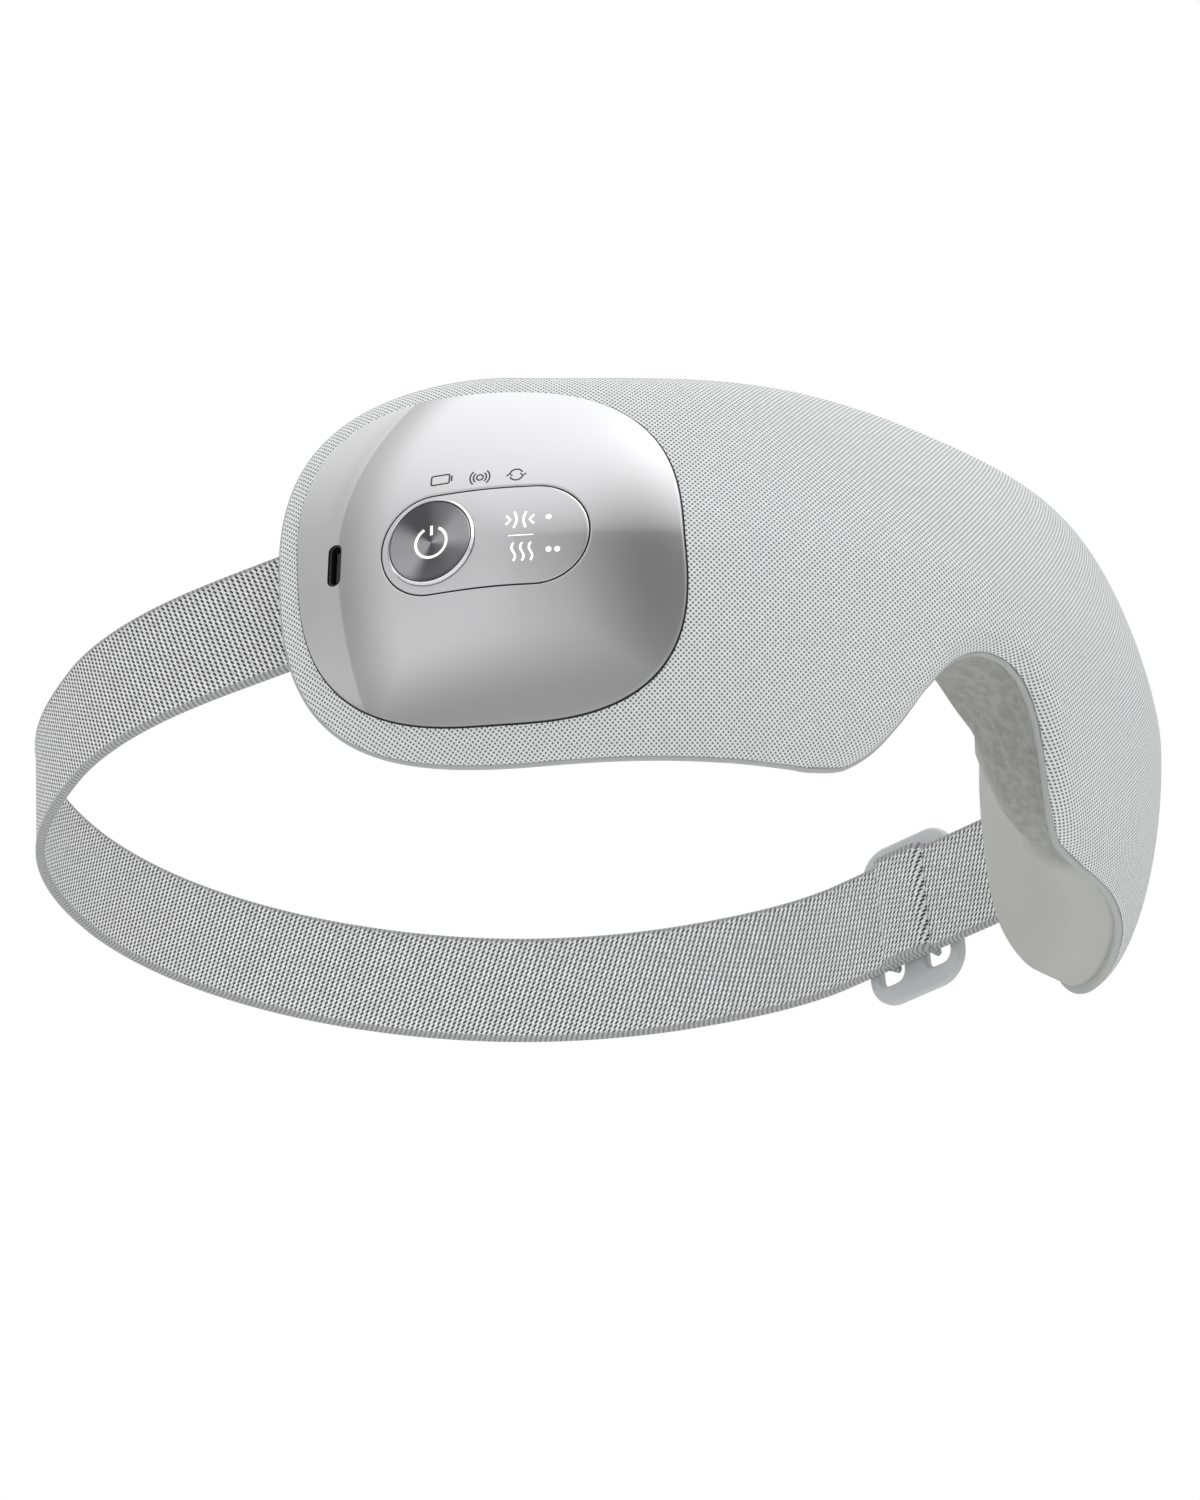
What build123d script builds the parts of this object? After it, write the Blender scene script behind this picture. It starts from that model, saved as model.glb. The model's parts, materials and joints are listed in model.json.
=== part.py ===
from build123d import *
import os
from math import atan2, cos, degrees, exp, pi, radians, sin

# Eye massager mask with a head strap.
# +Z is up, +Y goes from the face to the back of the head, and -X is the side of the control panel.
# The origin is where the mask rests on the bridge of the nose: the middle of the cushion's rear face.
# Places in the housing are given as (s, depth, z): the arc length s along the front's plan curve
# from the centre, the depth behind that curve, and the height.

# ---- driving dimensions, in mm ----
HALF_ARC = 147.8          # centre to the tip of a temple, along the plan curve
TAPER_START = 98.5        # arc length at which the outline starts to close
TEMPLE_HEADING = 58.6     # plan heading at the tips, degrees
TOP = 44.7                # upper edge at the centre
BOTTOM = -37.2            # lower edge at the centre, before the nose notch
CROWN = 11.86             # how far the cloth's rim lies behind its crown
CROWN_POWER = 1.512
TIP_DROP = 7.9            # how far the tips lie below mid height
NOSE_BULGE = 5.0          # how far the front swells over the bridge of the nose
NOSE_REACH = 30.0

CLOTH = 1.0               # cloth thickness
WALL = 2.0                # front shell wall
GAP = 0.2                 # fit between nested pieces
PARTING = 12.0            # depth of the housing's parting plane
FLANGE_BACK = 14.0        # rear face of the frame's flange
LIP = 0.4                 # how far the frame's lip stands out past the cloth
TRAY_INSET = 9.5
TRAY_FLOOR = 18.6         # depth of the tray floor's front face
TRAY_BACK = 20.2
CUSHION_BACK = 28.0
MEMBRANE = (22.9, 23.9)   # front and back of the leather over each airbag

PANEL_ARC, PANEL_Z = -106.1, 6.0
PANEL_HALF = (37.3, 34.7)
PANEL_POWER = 2.68        # exponent of the panel's rounded outline
PANEL_TILT = -5.5
PANEL_LEAN = -0.096       # sideways shift of the outline per mm of height
PANEL_PROUD = 0.5
PILL_SIZE = (40.0, 20.4)
PILL_ARC, PILL_Z = -104.9, 6.2
PILL_TILT = -5.0
BUTTON_ARC, BUTTON_Z = -114.7, 7.5
BUTTON_RADIUS = 8.1
RING_RADIUS = 8.8
USB_ARC, USB_Z = -134.8, 8.8
USB_SIZE = (8.6, 2.9, 5.4)

EYE_ARC, EYE_Z = 34.0, 8.0

STRAP_WIDTH = 25.0
STRAP_THICK = 1.5
STRAP_Z = 8.3
PIN_X, PIN_Y = 96.6, 53.0
PIN_RADIUS = 1.8
BEAD_RADIUS = 3.4         # the band's sewn end round its pin
SLOT_WIDTH, SLOT_HEIGHT = 5.8, 31.0
GLIDE_SIZE = (26.0, 37.0, 2.6)
GLIDE_CENTRE = 34.8       # distance of the slider's middle from the far pin, along the band
BAND_STRAIGHT_END = (93.8, 106.0)
BAND_BACK = [(80.5, 141.0), (54.5, 168.0), (19.0, 183.5), (-21.0, 186.5), (-58.0, 176.5),
             (-88.0, 154.0), (-103.5, 121.0), (-105.6, 93.0)]

# screw bosses on each side: arc length and height
BOSSES = [(48.0, -22.5), (62.0, 28.5), (62.0, -22.0), (100.0, 30.0), (100.0, -20.0)]
BOSS_RADIUS = 2.8


# ---- the housing's surface ----
def heading(s):
    """Plan heading at arc length s, in radians."""
    v = min(abs(s) / HALF_ARC, 1.0)
    angle = radians(TEMPLE_HEADING) * (0.107 * v + 0.893 * (1 - (1 - v * v) ** 4))
    return angle if s >= 0 else -angle


def plan(s):
    """Plan position at arc length s, by the midpoint rule."""
    steps = 60
    ds = abs(s) / steps
    x = sum(cos(heading((i + 0.5) * ds)) for i in range(steps)) * ds
    y = sum(sin(heading((i + 0.5) * ds)) for i in range(steps)) * ds
    return (x if s >= 0 else -x), y - CUSHION_BACK


def closing(s, inset):
    """0 up to the taper, 1 at the tip."""
    end = HALF_ARC - inset
    return min(max((abs(s) - TAPER_START) / (end - TAPER_START), 0.0), 1.0)


def outline(s, inset=0.0):
    """Lowest and highest z at arc length s, for a piece that lies inset inside the cloth."""
    u = abs(s) / 104
    top = TOP - 6.87 * u**2 + 8.89 * u**4 - inset
    bottom = BOTTOM + 2.0 * u**2 + inset
    e = closing(s, inset)
    half = (top - bottom) / 2 * (1 - e**1.95) ** 0.403
    middle = (top + bottom) / 2 - TIP_DROP * e * e
    return middle - half, middle + half


def front_depth(s, r, inset=0.0):
    """Depth of the front face, with r from -1 at the lower edge to 1 at the upper edge."""
    open_part = (1 - closing(s, inset) ** 1.95) * (1 - abs(r) ** 2.2)
    rim = max(1 - open_part, 0.0) ** (1 / 2.2)
    fall = 1 - max(1 - rim**CROWN_POWER, 0.0) ** (1 / CROWN_POWER)
    bulge = NOSE_BULGE * exp(-((s / NOSE_REACH) ** 2)) * (1 - r * r)
    return inset + (CROWN - inset) * fall - bulge


def spot(s, depth, z):
    x, y = plan(s)
    h = heading(s)
    return Vector(x - sin(h) * depth, y + cos(h) * depth, z)


def on_front(s, z, inset=0.0):
    low, high = outline(s, inset)
    r = (2 * z - low - high) / (high - low)
    return spot(s, front_depth(s, r, inset), z)


def local(s, depth, z):
    """Local frame: x along the housing, y inwards, z up."""
    return Location(spot(s, depth, z), (0, 0, degrees(heading(s))))


def facing(s, z, tilt=0.0, inset=0.0):
    """Plane on the front face: its z direction is the outward normal."""
    step = 0.5
    along = on_front(s + step, z, inset) - on_front(s - step, z, inset)
    up = on_front(s, z + step, inset) - on_front(s, z - step, inset)
    flat = Plane(on_front(s, z, inset), x_dir=along, z_dir=along.cross(up))
    return Plane(flat.location * Rot(0, 0, tilt))


def stations(inset):
    end = HALF_ARC - inset
    flat = [TAPER_START * i / 6 for i in range(7)]
    closing_part = [TAPER_START + (end - TAPER_START) * e for e in (0.3, 0.52, 0.7, 0.84, 0.93, 0.98, 0.997)]
    half = flat + closing_part
    return [-s for s in reversed(half[1:])] + half


def layer(inset, back, front=None):
    """Solid between the front face, or the depth front, and the depth back."""
    sections = []
    for s in stations(inset):
        low, high = outline(s, inset)
        rows = [sin(pi / 2 * (i / 6 - 1)) for i in range(13)]
        if front is None:
            face = [spot(s, front_depth(s, r, inset), low + (high - low) * (r + 1) / 2) for r in rows]
            edge = Spline(face)
        else:
            face = [spot(s, front, low), spot(s, front, high)]
            edge = Line(face)
        rear_low, rear_high = spot(s, back, low), spot(s, back, high)
        sections.append(Wire([edge, Line(face[-1], rear_high), Line(rear_high, rear_low),
                              Line(rear_low, face[0])]))
    return Solid.make_loft(sections) - nose_notch(inset)


def nose_notch(inset):
    """Prism of the notch over the nose, grown by inset."""
    half = [(0, -8.6), (7, -10.2), (11, -13), (15.5, -18.4), (20.2, -25.6), (24.2, -30.6), (29.5, -34.5), (38, -37.3)]
    side = [(-x, z) for x, z in reversed(half[1:])] + half
    grown = []
    for i, (x, z) in enumerate(side):
        x0, z0 = side[max(i - 1, 0)]
        x1, z1 = side[min(i + 1, len(side) - 1)]
        angle = atan2(z1 - z0, x1 - x0)
        grown.append((x - sin(angle) * inset, z + cos(angle) * inset))
    curve = Spline(grown)
    floor_z = -70
    below = Polyline(grown[-1], (grown[-1][0], floor_z), (grown[0][0], floor_z), grown[0])
    face = make_face(Plane.XZ * (curve + below))
    return extrude(face, 80, both=True)


def through(plane, sketch, reach=40):
    """Prism of a sketch drawn on a plane, in both directions."""
    return extrude(plane * sketch, reach, both=True)


def eye(half_width, half_height):
    """Two prisms over the eyes."""
    return [through(facing(side * EYE_ARC, EYE_Z), Ellipse(half_width, half_height)) for side in (-1, 1)]


def panel_outline(grow=0.0):
    """Superellipse of the control panel, leaning a little."""
    a, b = PANEL_HALF[0] + grow, PANEL_HALF[1] + grow
    points = []
    for i in range(32):
        t = 2 * pi * i / 32
        size = abs(cos(t) / a) ** PANEL_POWER + abs(sin(t) / b) ** PANEL_POWER
        radius = size ** (-1 / PANEL_POWER)
        points.append((radius * (cos(t) + PANEL_LEAN * sin(t)), radius * sin(t)))
    return make_face(Spline(points, periodic=True))


def pill(grow=0.0):
    return SlotOverall(PILL_SIZE[0] + 2 * grow, PILL_SIZE[1] + 2 * grow)


def peg(s, depth, z, radius, length):
    """Cylinder that runs inwards from a depth."""
    return local(s, depth, z) * Rot(-90, 0, 0) * Cylinder(
        radius, length, align=(Align.CENTER, Align.CENTER, Align.MIN))


def boss_places():
    return [(side * s, z) for s, z in BOSSES for side in (-1, 1)]


panel_plane = facing(PANEL_ARC, PANEL_Z, PANEL_TILT)
pill_plane = facing(PILL_ARC, PILL_Z, PILL_TILT)
button_plane = facing(BUTTON_ARC, BUTTON_Z, PILL_TILT, -PANEL_PROUD)
usb_plane = facing(USB_ARC, USB_Z, 90 + PILL_TILT, -PANEL_PROUD)


# ---- housing ----
def fabric_cover():
    cover = layer(0, PARTING) - layer(CLOTH, FLANGE_BACK)
    return cover - through(panel_plane, panel_outline(0.35), 15)


def front_shell():
    outer = CLOTH + GAP
    shell = layer(outer, PARTING) - layer(outer + WALL, FLANGE_BACK)
    inside = layer(outer + 0.8, TRAY_FLOOR - GAP)
    for s, z in boss_places():
        shell += peg(s, 0, z, BOSS_RADIUS, TRAY_FLOOR) & inside
        shell -= peg(s, TRAY_FLOOR - 7, z, 1.05, 8)
    shell -= through(pill_plane, pill(-0.6), 12)
    shell -= through(usb_plane, RectangleRounded(USB_SIZE[0] + 1.6, USB_SIZE[1] + 1.6, 2), 8)
    return shell


def strap_line(side):
    """Plan direction in which the band leaves its pin."""
    target = BAND_STRAIGHT_END if side > 0 else BAND_BACK[-1]
    lean = Vector(target[0] - side * PIN_X, target[1] - PIN_Y, 0)
    return lean.normalized()


def strap_window(side, width, height, start, end):
    """Box along the band, from start to end measured from its pin."""
    way = strap_line(side)
    frame = Plane((side * PIN_X, PIN_Y, STRAP_Z), x_dir=(way.X, way.Y, 0), z_dir=(0, 0, 1))
    return frame * Pos((start + end) / 2, 0, 0) * Box(end - start, width, height)


def strap_boss(side, grow=0.0):
    """Block at a temple tip that holds the band's pin."""
    s = side * 140.8
    block = local(s, 18.2, STRAP_Z) * Box(15 + 2 * grow, 10.2 + 2 * grow, 37 + 2 * grow)
    return block & layer(0.4 - grow, 23.2 + grow, 13.1 - grow)


def rear_frame():
    frame = layer(-LIP, FLANGE_BACK, PARTING + GAP)
    frame += layer(TRAY_INSET, TRAY_BACK, FLANGE_BACK - 0.5)
    frame -= layer(TRAY_INSET + 1.6, TRAY_FLOOR, PARTING)
    for side in (-1, 1):
        frame += strap_boss(side)
        frame -= strap_window(side, 9.4, 34.0, -6.5, 6.5)
        frame -= strap_window(side, SLOT_WIDTH, SLOT_HEIGHT, 0, 30)
        frame -= peg(side * 24, TRAY_FLOOR - 1, 8, 1.7, 4)
    for s, z in boss_places():
        frame -= peg(s, TRAY_FLOOR - 1, z, 1.25, 4)
    return max(frame.solids(), key=lambda solid: solid.volume)


def face_cushion():
    cushion = layer(0.6, CUSHION_BACK, FLANGE_BACK + GAP)
    cushion -= layer(TRAY_INSET - 0.5, TRAY_BACK + 0.2, FLANGE_BACK)
    hollow = layer(TRAY_INSET, MEMBRANE[0], TRAY_BACK - 0.5)
    pocket = layer(2.0, CUSHION_BACK + 6, MEMBRANE[1])
    for wide, narrow in zip(eye(27.5, 20.5), eye(26, 19)):
        cushion -= hollow & wide
        cushion -= pocket & narrow
    for s, z in boss_places():
        cushion -= peg(s, TRAY_BACK - 0.5, z, 2.6, 2.1)
    for side in (-1, 1):
        cushion -= strap_boss(side, 0.4)
        cushion -= strap_window(side, SLOT_WIDTH + 1.2, SLOT_HEIGHT + 2, 3, 34)
    return cushion


def housing_screws():
    screws = []
    for s, z in boss_places():
        screws.append(peg(s, TRAY_BACK - 6, z, 1.0, 6.4) + peg(s, TRAY_BACK + 0.15, z, 2.0, 1.1))
    return Compound(children=screws)


# ---- control panel ----
def control_panel():
    plate = layer(-PANEL_PROUD, PARTING) - layer(CLOTH + GAP - 0.1, FLANGE_BACK)
    plate = plate & through(panel_plane, panel_outline(), 15)
    plate -= through(pill_plane, pill(), 12)
    return plate - through(usb_plane, RectangleRounded(*USB_SIZE[:2], 1.4), 8)


def control_insert():
    plate = layer(-PANEL_PROUD + 0.1, PARTING) - layer(CLOTH + GAP - 0.1, FLANGE_BACK)
    plate = plate & through(pill_plane, pill(-0.25), 12)
    plate -= through(button_plane, Circle(RING_RADIUS + 0.05), 6)
    for hole in dots():
        plate -= hole
    return plate


def dots(radius=0.65):
    """Pins of light beside the icons."""
    pins = []
    for x, y in ((12.3, 3.1), (12.5, -3.6), (14.3, -3.6)):
        pins.append((pill_plane * Pos(x, y, -2)) * Cylinder(radius, 6))
    return pins


def button_ring():
    ring = Cylinder(RING_RADIUS, 2.2) - Cylinder(BUTTON_RADIUS + 0.15, 3)
    ring = chamfer(ring.edges().filter_by(GeomType.CIRCLE).group_by(Axis.Z)[-1], 0.2)
    return button_plane * Pos(0, 0, -0.85) * ring


def power_button():
    """Dished cap with a stem, drawn about the button's own axis."""
    cap = Cylinder(BUTTON_RADIUS, 1.8, align=(Align.CENTER, Align.CENTER, Align.MAX))
    dish = Pos(0, 0, 44.3) * Sphere(45.0)
    stem = Pos(0, 0, -1.7) * Cylinder(1.5, 2.3, align=(Align.CENTER, Align.CENTER, Align.MAX))
    return button_plane * Pos(0, 0, 0.5) * (cap - dish + stem)


def switch_plunger():
    return button_plane * Pos(0, 0, -4.15) * Cylinder(1.2, 1.2)


def tact_switch():
    """Low square switch with a well that its plunger sinks into."""
    body = Box(6, 6, 2.4) - Pos(0, 0, 0.6) * Cylinder(1.3, 2.0)
    return button_plane * Pos(0, 0, -5.45) * body


def button_board():
    return button_plane * Pos(6, 0, -7.2) * Box(26, 17, 1.0)


def light_guide():
    block = pill_plane * Pos(12.5, 0, -4.3) * Box(9, 12, 1.2)
    for pin in dots(0.6):
        block += pin & (layer(-PANEL_PROUD + 0.1, PARTING))
    return block


def usb_c_port():
    """Socket shell with its tongue; the mouth faces out of the panel."""
    shell = extrude(RectangleRounded(8.4, 2.7, 1.3), -USB_SIZE[2])
    hollow = extrude(RectangleRounded(7.8, 2.1, 1.0), -USB_SIZE[2] + 0.8)
    tongue = Pos(0, 0, -0.9) * Box(6.0, 0.7, USB_SIZE[2] - 1.0, align=(Align.CENTER, Align.CENTER, Align.MAX))
    return usb_plane * Pos(0, 0, -0.3) * (shell - hollow + tongue)


# ---- inside ----
def main_board():
    return local(-52, 13.4, 10) * Box(38, 1.2, 31)


def board_chips():
    chips = [((-8, 6), (10, 10)), ((8, 8), (7, 7)), ((6, -7), (5, 4)), ((-10, -9), (4, 6))]
    return Compound(children=[local(-52, 12.2, 10) * Pos(x, -0.05, z) * Box(w, 1.1, h)
                              for (x, z), (w, h) in chips])


def board_screws():
    return Compound(children=[local(-52, 13.4, 10) * Pos(x, -1.2, z) * Rot(90, 0, 0) * Cylinder(1.4, 1.0)
                              for x in (-16, 16) for z in (-13, 13)])


def ribbon_cable():
    strip = local(-78, 10, 2) * Box(16, 30, 8)
    return layer(8, 13.9, 13.5) & strip


def battery():
    return local(60, 13.0, 8) * fillet(Box(42, 7.2, 32).edges().filter_by(Axis.Z), 2.0)


def battery_leads():
    strip = layer(TRAY_INSET + 3, 17.9, 16.9)
    return strip & Pos(2, 0, 4.2) * Box(70, 90, 1.8)


def speaker():
    return local(-20, 10.6, 6) * Rot(90, 0, 0) * (Cylinder(7, 3.6) + Pos(0, 0, -2.4) * Cylinder(4, 1.4))


PUMP = local(0, 12.4, 24)


def pump_motor():
    body = Rot(0, 90, 0) * Cylinder(5.4, 15)
    return PUMP * Pos(-9, 0, 0) * body


def pump_head():
    block = Box(13, 10.6, 12) - Pos(-2.5, 0, 0) * Rot(0, 90, 0) * Cylinder(4.6, 5.6)
    port = Pos(7.5, 0, 2) * Rot(0, 90, 0) * Cylinder(1.1, 3)
    return PUMP * Pos(5.4, 0, 0) * (block + port)


def pump_crank():
    """Off-centre disc on the motor's shaft, inside the pump head."""
    disc = Pos(0, 0, 0.9) * Rot(0, 90, 0) * Cylinder(3.0, 2.4)
    hub = Rot(0, 90, 0) * Cylinder(1.4, 4.2)
    return PUMP * Pos(2.7, 0, 0) * (disc + hub)


VALVE = local(25.5, 12.4, 27)


def valve_body():
    return VALVE * (Box(13, 8, 8) - Pos(3, 0, 0) * Rot(0, 90, 0) * Cylinder(1.6, 9))


def valve_plunger():
    return VALVE * Pos(3.2, 0, 0) * Rot(0, 90, 0) * Cylinder(1.5, 7.4)


def tube(points, radius=1.2, bend=3.0):
    path = FilletPolyline(*points, radius=bend)
    return sweep(Plane(path @ 0, z_dir=path % 0) * Circle(radius), path=path)


def air_tubes():
    """One tube from the valve side to each airbag, through the holes in the tray."""
    tubes = []
    for side in (-1, 1):
        a = spot(side * 24, 20.3, 8)
        b = spot(side * 24, 16.2, 8)
        c = spot(side * 24, 16.2, 17)
        tubes.append(tube([a, b, c], bend=2.0))
    return Compound(children=tubes)


def motor_frame(side):
    return local(side * 42, 14.6, -16)


def vibration_motor(side):
    return motor_frame(side) * Rot(0, 90, 0) * (Cylinder(3.0, 9) + Pos(0, 0, side * 5.2) * Cylinder(0.5, 1.4))


def eccentric_weight(side):
    half = Cylinder(2.8, 3.2) & Pos(0, 1.2, 0) * Box(6, 3.6, 4)
    half += Cylinder(1.0, 3.2)
    half -= Cylinder(0.52, 5)
    return motor_frame(side) * Pos(side * 6.5, 0, 0) * Rot(0, 90, 0) * half


def airbag(side_index):
    return layer(TRAY_INSET + 1, 22.2, TRAY_BACK + 0.3) & eye(26, 19)[side_index]


def heating_film(side_index):
    return layer(TRAY_INSET + 1, 22.7, 22.35) & eye(25, 18)[side_index]


# ---- strap ----
def band_curve():
    """Plan line of the band from the far pin round the back of the head to the near pin."""
    start = (PIN_X, PIN_Y)
    straight = Line(start, BAND_STRAIGHT_END)
    way = strap_line(-1)
    back = Spline(BAND_STRAIGHT_END, *BAND_BACK, (-PIN_X, PIN_Y), tangents=(straight % 1, -way))
    return straight, back


def beside(curve, shift, count):
    """Points beside a curve, to the left of its direction."""
    points = []
    for i in range(count + 1):
        t = i / count
        way = curve % t
        spot_on = curve @ t
        points.append((spot_on.X - way.Y * shift, spot_on.Y + way.X * shift))
    return points


def head_strap():
    straight, back = band_curve()
    band = Part()
    for curve, count in ((straight, 1), (back, 20)):
        right = beside(curve, -STRAP_THICK / 2, count)
        left = beside(curve, STRAP_THICK / 2, count)
        edge = Spline if count > 1 else Line
        strip = edge(right) + Line(right[-1], left[-1]) + edge(left) + Line(left[0], right[0])
        band += extrude(make_face(strip), STRAP_WIDTH)
    band = Pos(0, 0, STRAP_Z - STRAP_WIDTH / 2) * band
    for side in (-1, 1):
        at = Pos(side * PIN_X, PIN_Y, STRAP_Z)
        band += at * Cylinder(BEAD_RADIUS, STRAP_WIDTH)
        band -= at * Cylinder(PIN_RADIUS + 0.1, STRAP_WIDTH + 2)
    return band


def strap_pin(side):
    return Pos(side * PIN_X, PIN_Y, STRAP_Z) * Cylinder(PIN_RADIUS, 27)


glide_way = strap_line(1)
glide_centre = Vector(PIN_X, PIN_Y, STRAP_Z) + glide_way * GLIDE_CENTRE
# x along the band, y up, z out of the strap's loop
GLIDE = Plane(glide_centre, x_dir=glide_way, z_dir=glide_way.cross(Vector(0, 0, 1)))


def tri_glide():
    """Slider frame with two slots and a centre bar, on the outer side of the band."""
    length, height, thick = GLIDE_SIZE
    frame = RectangleRounded(length, height, 7)
    for side in (-1, 1):
        frame -= Pos(side * 6.6, 0) * RectangleRounded(7.0, 27.0, 2.5)
    frame = fillet(extrude(frame, thick).edges().group_by(Axis.Z)[-1], 0.6)
    return GLIDE * Pos(0, 0, STRAP_THICK / 2 + 0.35) * frame


def strap_bight():
    """Layer of webbing that crosses the slider's centre bar and is folded round the band's edges."""
    thick, gap = 1.2, 0.35
    depth = STRAP_THICK + gap
    height = STRAP_WIDTH + 2 * gap
    outer = Box(13, height + 2 * thick, depth + thick, align=(Align.CENTER, Align.CENTER, Align.MIN))
    inner = Pos(0, 0, thick) * Box(14, height, depth + 1, align=(Align.CENTER, Align.CENTER, Align.MIN))
    return GLIDE * Pos(0, 0, -STRAP_THICK / 2 - gap - thick) * (outer - inner)


NODES = {
    "fabric_cover": fabric_cover,
    "front_shell": front_shell,
    "rear_frame": rear_frame,
    "face_cushion": face_cushion,
    "housing_screws": housing_screws,
    "control_panel": control_panel,
    "control_insert": control_insert,
    "button_ring": button_ring,
    "power_button": power_button,
    "switch_plunger": switch_plunger,
    "tact_switch": tact_switch,
    "button_board": button_board,
    "light_guide": light_guide,
    "usb_c_port": usb_c_port,
    "main_board": main_board,
    "board_chips": board_chips,
    "board_screws": board_screws,
    "ribbon_cable": ribbon_cable,
    "battery": battery,
    "battery_leads": battery_leads,
    "speaker": speaker,
    "pump_motor": pump_motor,
    "pump_head": pump_head,
    "pump_crank": pump_crank,
    "valve_body": valve_body,
    "valve_plunger": valve_plunger,
    "air_tubes": air_tubes,
    "head_strap": head_strap,
    "tri_glide": tri_glide,
    "strap_bight": strap_bight,
}
for index, name in enumerate(("near", "far")):
    side = (-1, 1)[index]
    NODES[name + "_vibration_motor"] = lambda side=side: vibration_motor(side)
    NODES[name + "_eccentric_weight"] = lambda side=side: eccentric_weight(side)
    NODES[name + "_airbag"] = lambda index=index: airbag(index)
    NODES[name + "_heating_film"] = lambda index=index: heating_film(index)
    NODES[name + "_strap_pin"] = lambda side=side: strap_pin(side)

os.makedirs("parts", exist_ok=True)
for name, make in NODES.items():
    export_step(make(), "parts/" + name + ".step")
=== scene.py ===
import json
from math import cos, hypot, pi, radians, sin, sqrt

import bmesh
import bpy
import numpy as np
from mathutils import Matrix, Vector

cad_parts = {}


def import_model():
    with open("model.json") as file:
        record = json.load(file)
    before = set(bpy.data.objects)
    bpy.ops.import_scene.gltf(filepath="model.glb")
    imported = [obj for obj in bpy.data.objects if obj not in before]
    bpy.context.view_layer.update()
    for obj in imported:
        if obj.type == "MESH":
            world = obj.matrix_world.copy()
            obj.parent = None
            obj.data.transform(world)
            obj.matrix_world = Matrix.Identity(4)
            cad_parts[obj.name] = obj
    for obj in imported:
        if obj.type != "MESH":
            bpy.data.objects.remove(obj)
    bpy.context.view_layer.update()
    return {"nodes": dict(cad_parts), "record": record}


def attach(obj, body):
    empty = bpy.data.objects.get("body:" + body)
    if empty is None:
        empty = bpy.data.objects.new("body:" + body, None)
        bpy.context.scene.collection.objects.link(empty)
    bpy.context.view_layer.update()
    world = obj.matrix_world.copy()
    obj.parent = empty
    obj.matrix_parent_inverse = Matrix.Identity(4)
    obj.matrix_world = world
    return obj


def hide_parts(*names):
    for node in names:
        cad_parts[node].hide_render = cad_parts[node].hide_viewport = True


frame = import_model()

# Eye massager mask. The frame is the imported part's: +Z up, +Y to the back of the head, -X the side of
# the control panel. Sizes are in millimetres, and every mesh is scaled by MM as it is made.
MM = 0.001

# ---- the housing's surface, as the part has it ----
HALF_ARC = 147.8
TAPER_START = 98.5
TEMPLE_HEADING = 58.6
TOP, BOTTOM = 44.7, -37.2
CROWN, CROWN_POWER = 11.86, 1.512
TIP_DROP = 7.9
CUSHION_BACK = 28.0
NOSE_BULGE, NOSE_REACH = 5.0, 30.0
NOTCH = [(0, -8.6), (7, -10.2), (11, -13), (15.5, -18.4), (20.2, -25.6), (24.2, -30.6), (29.5, -34.5),
         (38, -37.3)]

PANEL_ARC, PANEL_Z = -106.1, 6.0
PANEL_HALF = (37.3, 34.7)
PANEL_POWER = 2.68
PANEL_TILT = -5.5
PANEL_LEAN = -0.096
PROUD = 0.5               # the panel stands this far out of the cloth
CREASE_ARC, CREASE_Z = -134.3, 8.0      # where the panel turns to the temple, at the socket's height
CREASE_ABOVE, CREASE_BELOW = 0.0145, 0.0039   # how fast the crease bends away, up and down from there
PILL_SIZE = (40.0, 20.4)
PILL_ARC, PILL_Z = -104.9, 6.2
PILL_TILT = -5.0
BUTTON_ARC, BUTTON_Z = -114.7, 7.5
BUTTON_RADIUS, RING_RADIUS = 8.1, 8.8
USB_ARC, USB_Z = -134.8, 8.8
USB_SLOT = (8.6, 2.9)

STRAP_WIDTH, STRAP_THICK, STRAP_Z = 25.0, 1.5, 8.3
PIN_X, PIN_Y = 96.6, 53.0
GLIDE_CENTRE = 34.8       # along the strap from the far pin
GLIDE_OUTLINE, GLIDE_SLOT = (24.4, 35.4, 6.2), (8.6, 29.6, 3.2)   # width, height, corner radius
SLOT_OFFSET = 6.6         # each slot from the slider's middle
BAND_STRAIGHT_END = (93.8, 106.0)
BAND_BACK = [(80.5, 141.0), (54.5, 168.0), (19.0, 183.5), (-21.0, 186.5), (-58.0, 176.5),
             (-88.0, 154.0), (-103.5, 121.0), (-105.6, 93.0)]

CLOTH = 1.0               # cloth thickness
SHELL_GAP, SHELL_DEPTH = 0.3, 2.3       # the shell's skin lies between these depths under the cloth
SHELL_BACK = 0.15         # and this much behind it
PAD_INSET = 1.2           # the cushion inside the outline
PAD_START = 1.4           # its wall starts this far behind the cloth's edge
PAD_FRONT = 14.2          # depth of its hidden front face
EDGE_ROLL = 3.4           # the cloth turns in by this much round the notch
EYE_ARC, EYE_Z = 34.0, 8.0
FILM_COVER = 23.4         # the cushion's rear face stays this deep over the heating films

ARC = np.linspace(0, HALF_ARC + 4, 3000)


def heading(s):
    v = np.minimum(np.abs(s) / HALF_ARC, 1)
    angle = radians(TEMPLE_HEADING) * (0.107 * v + 0.893 * (1 - (1 - v * v) ** 4))
    return np.sign(s) * angle


def running_sum(values):
    steps = (values[1:] + values[:-1]) / 2 * np.diff(ARC)
    return np.concatenate([[0], np.cumsum(steps)])


PLAN_X, PLAN_Y = running_sum(np.cos(heading(ARC))), running_sum(np.sin(heading(ARC)))


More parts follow.
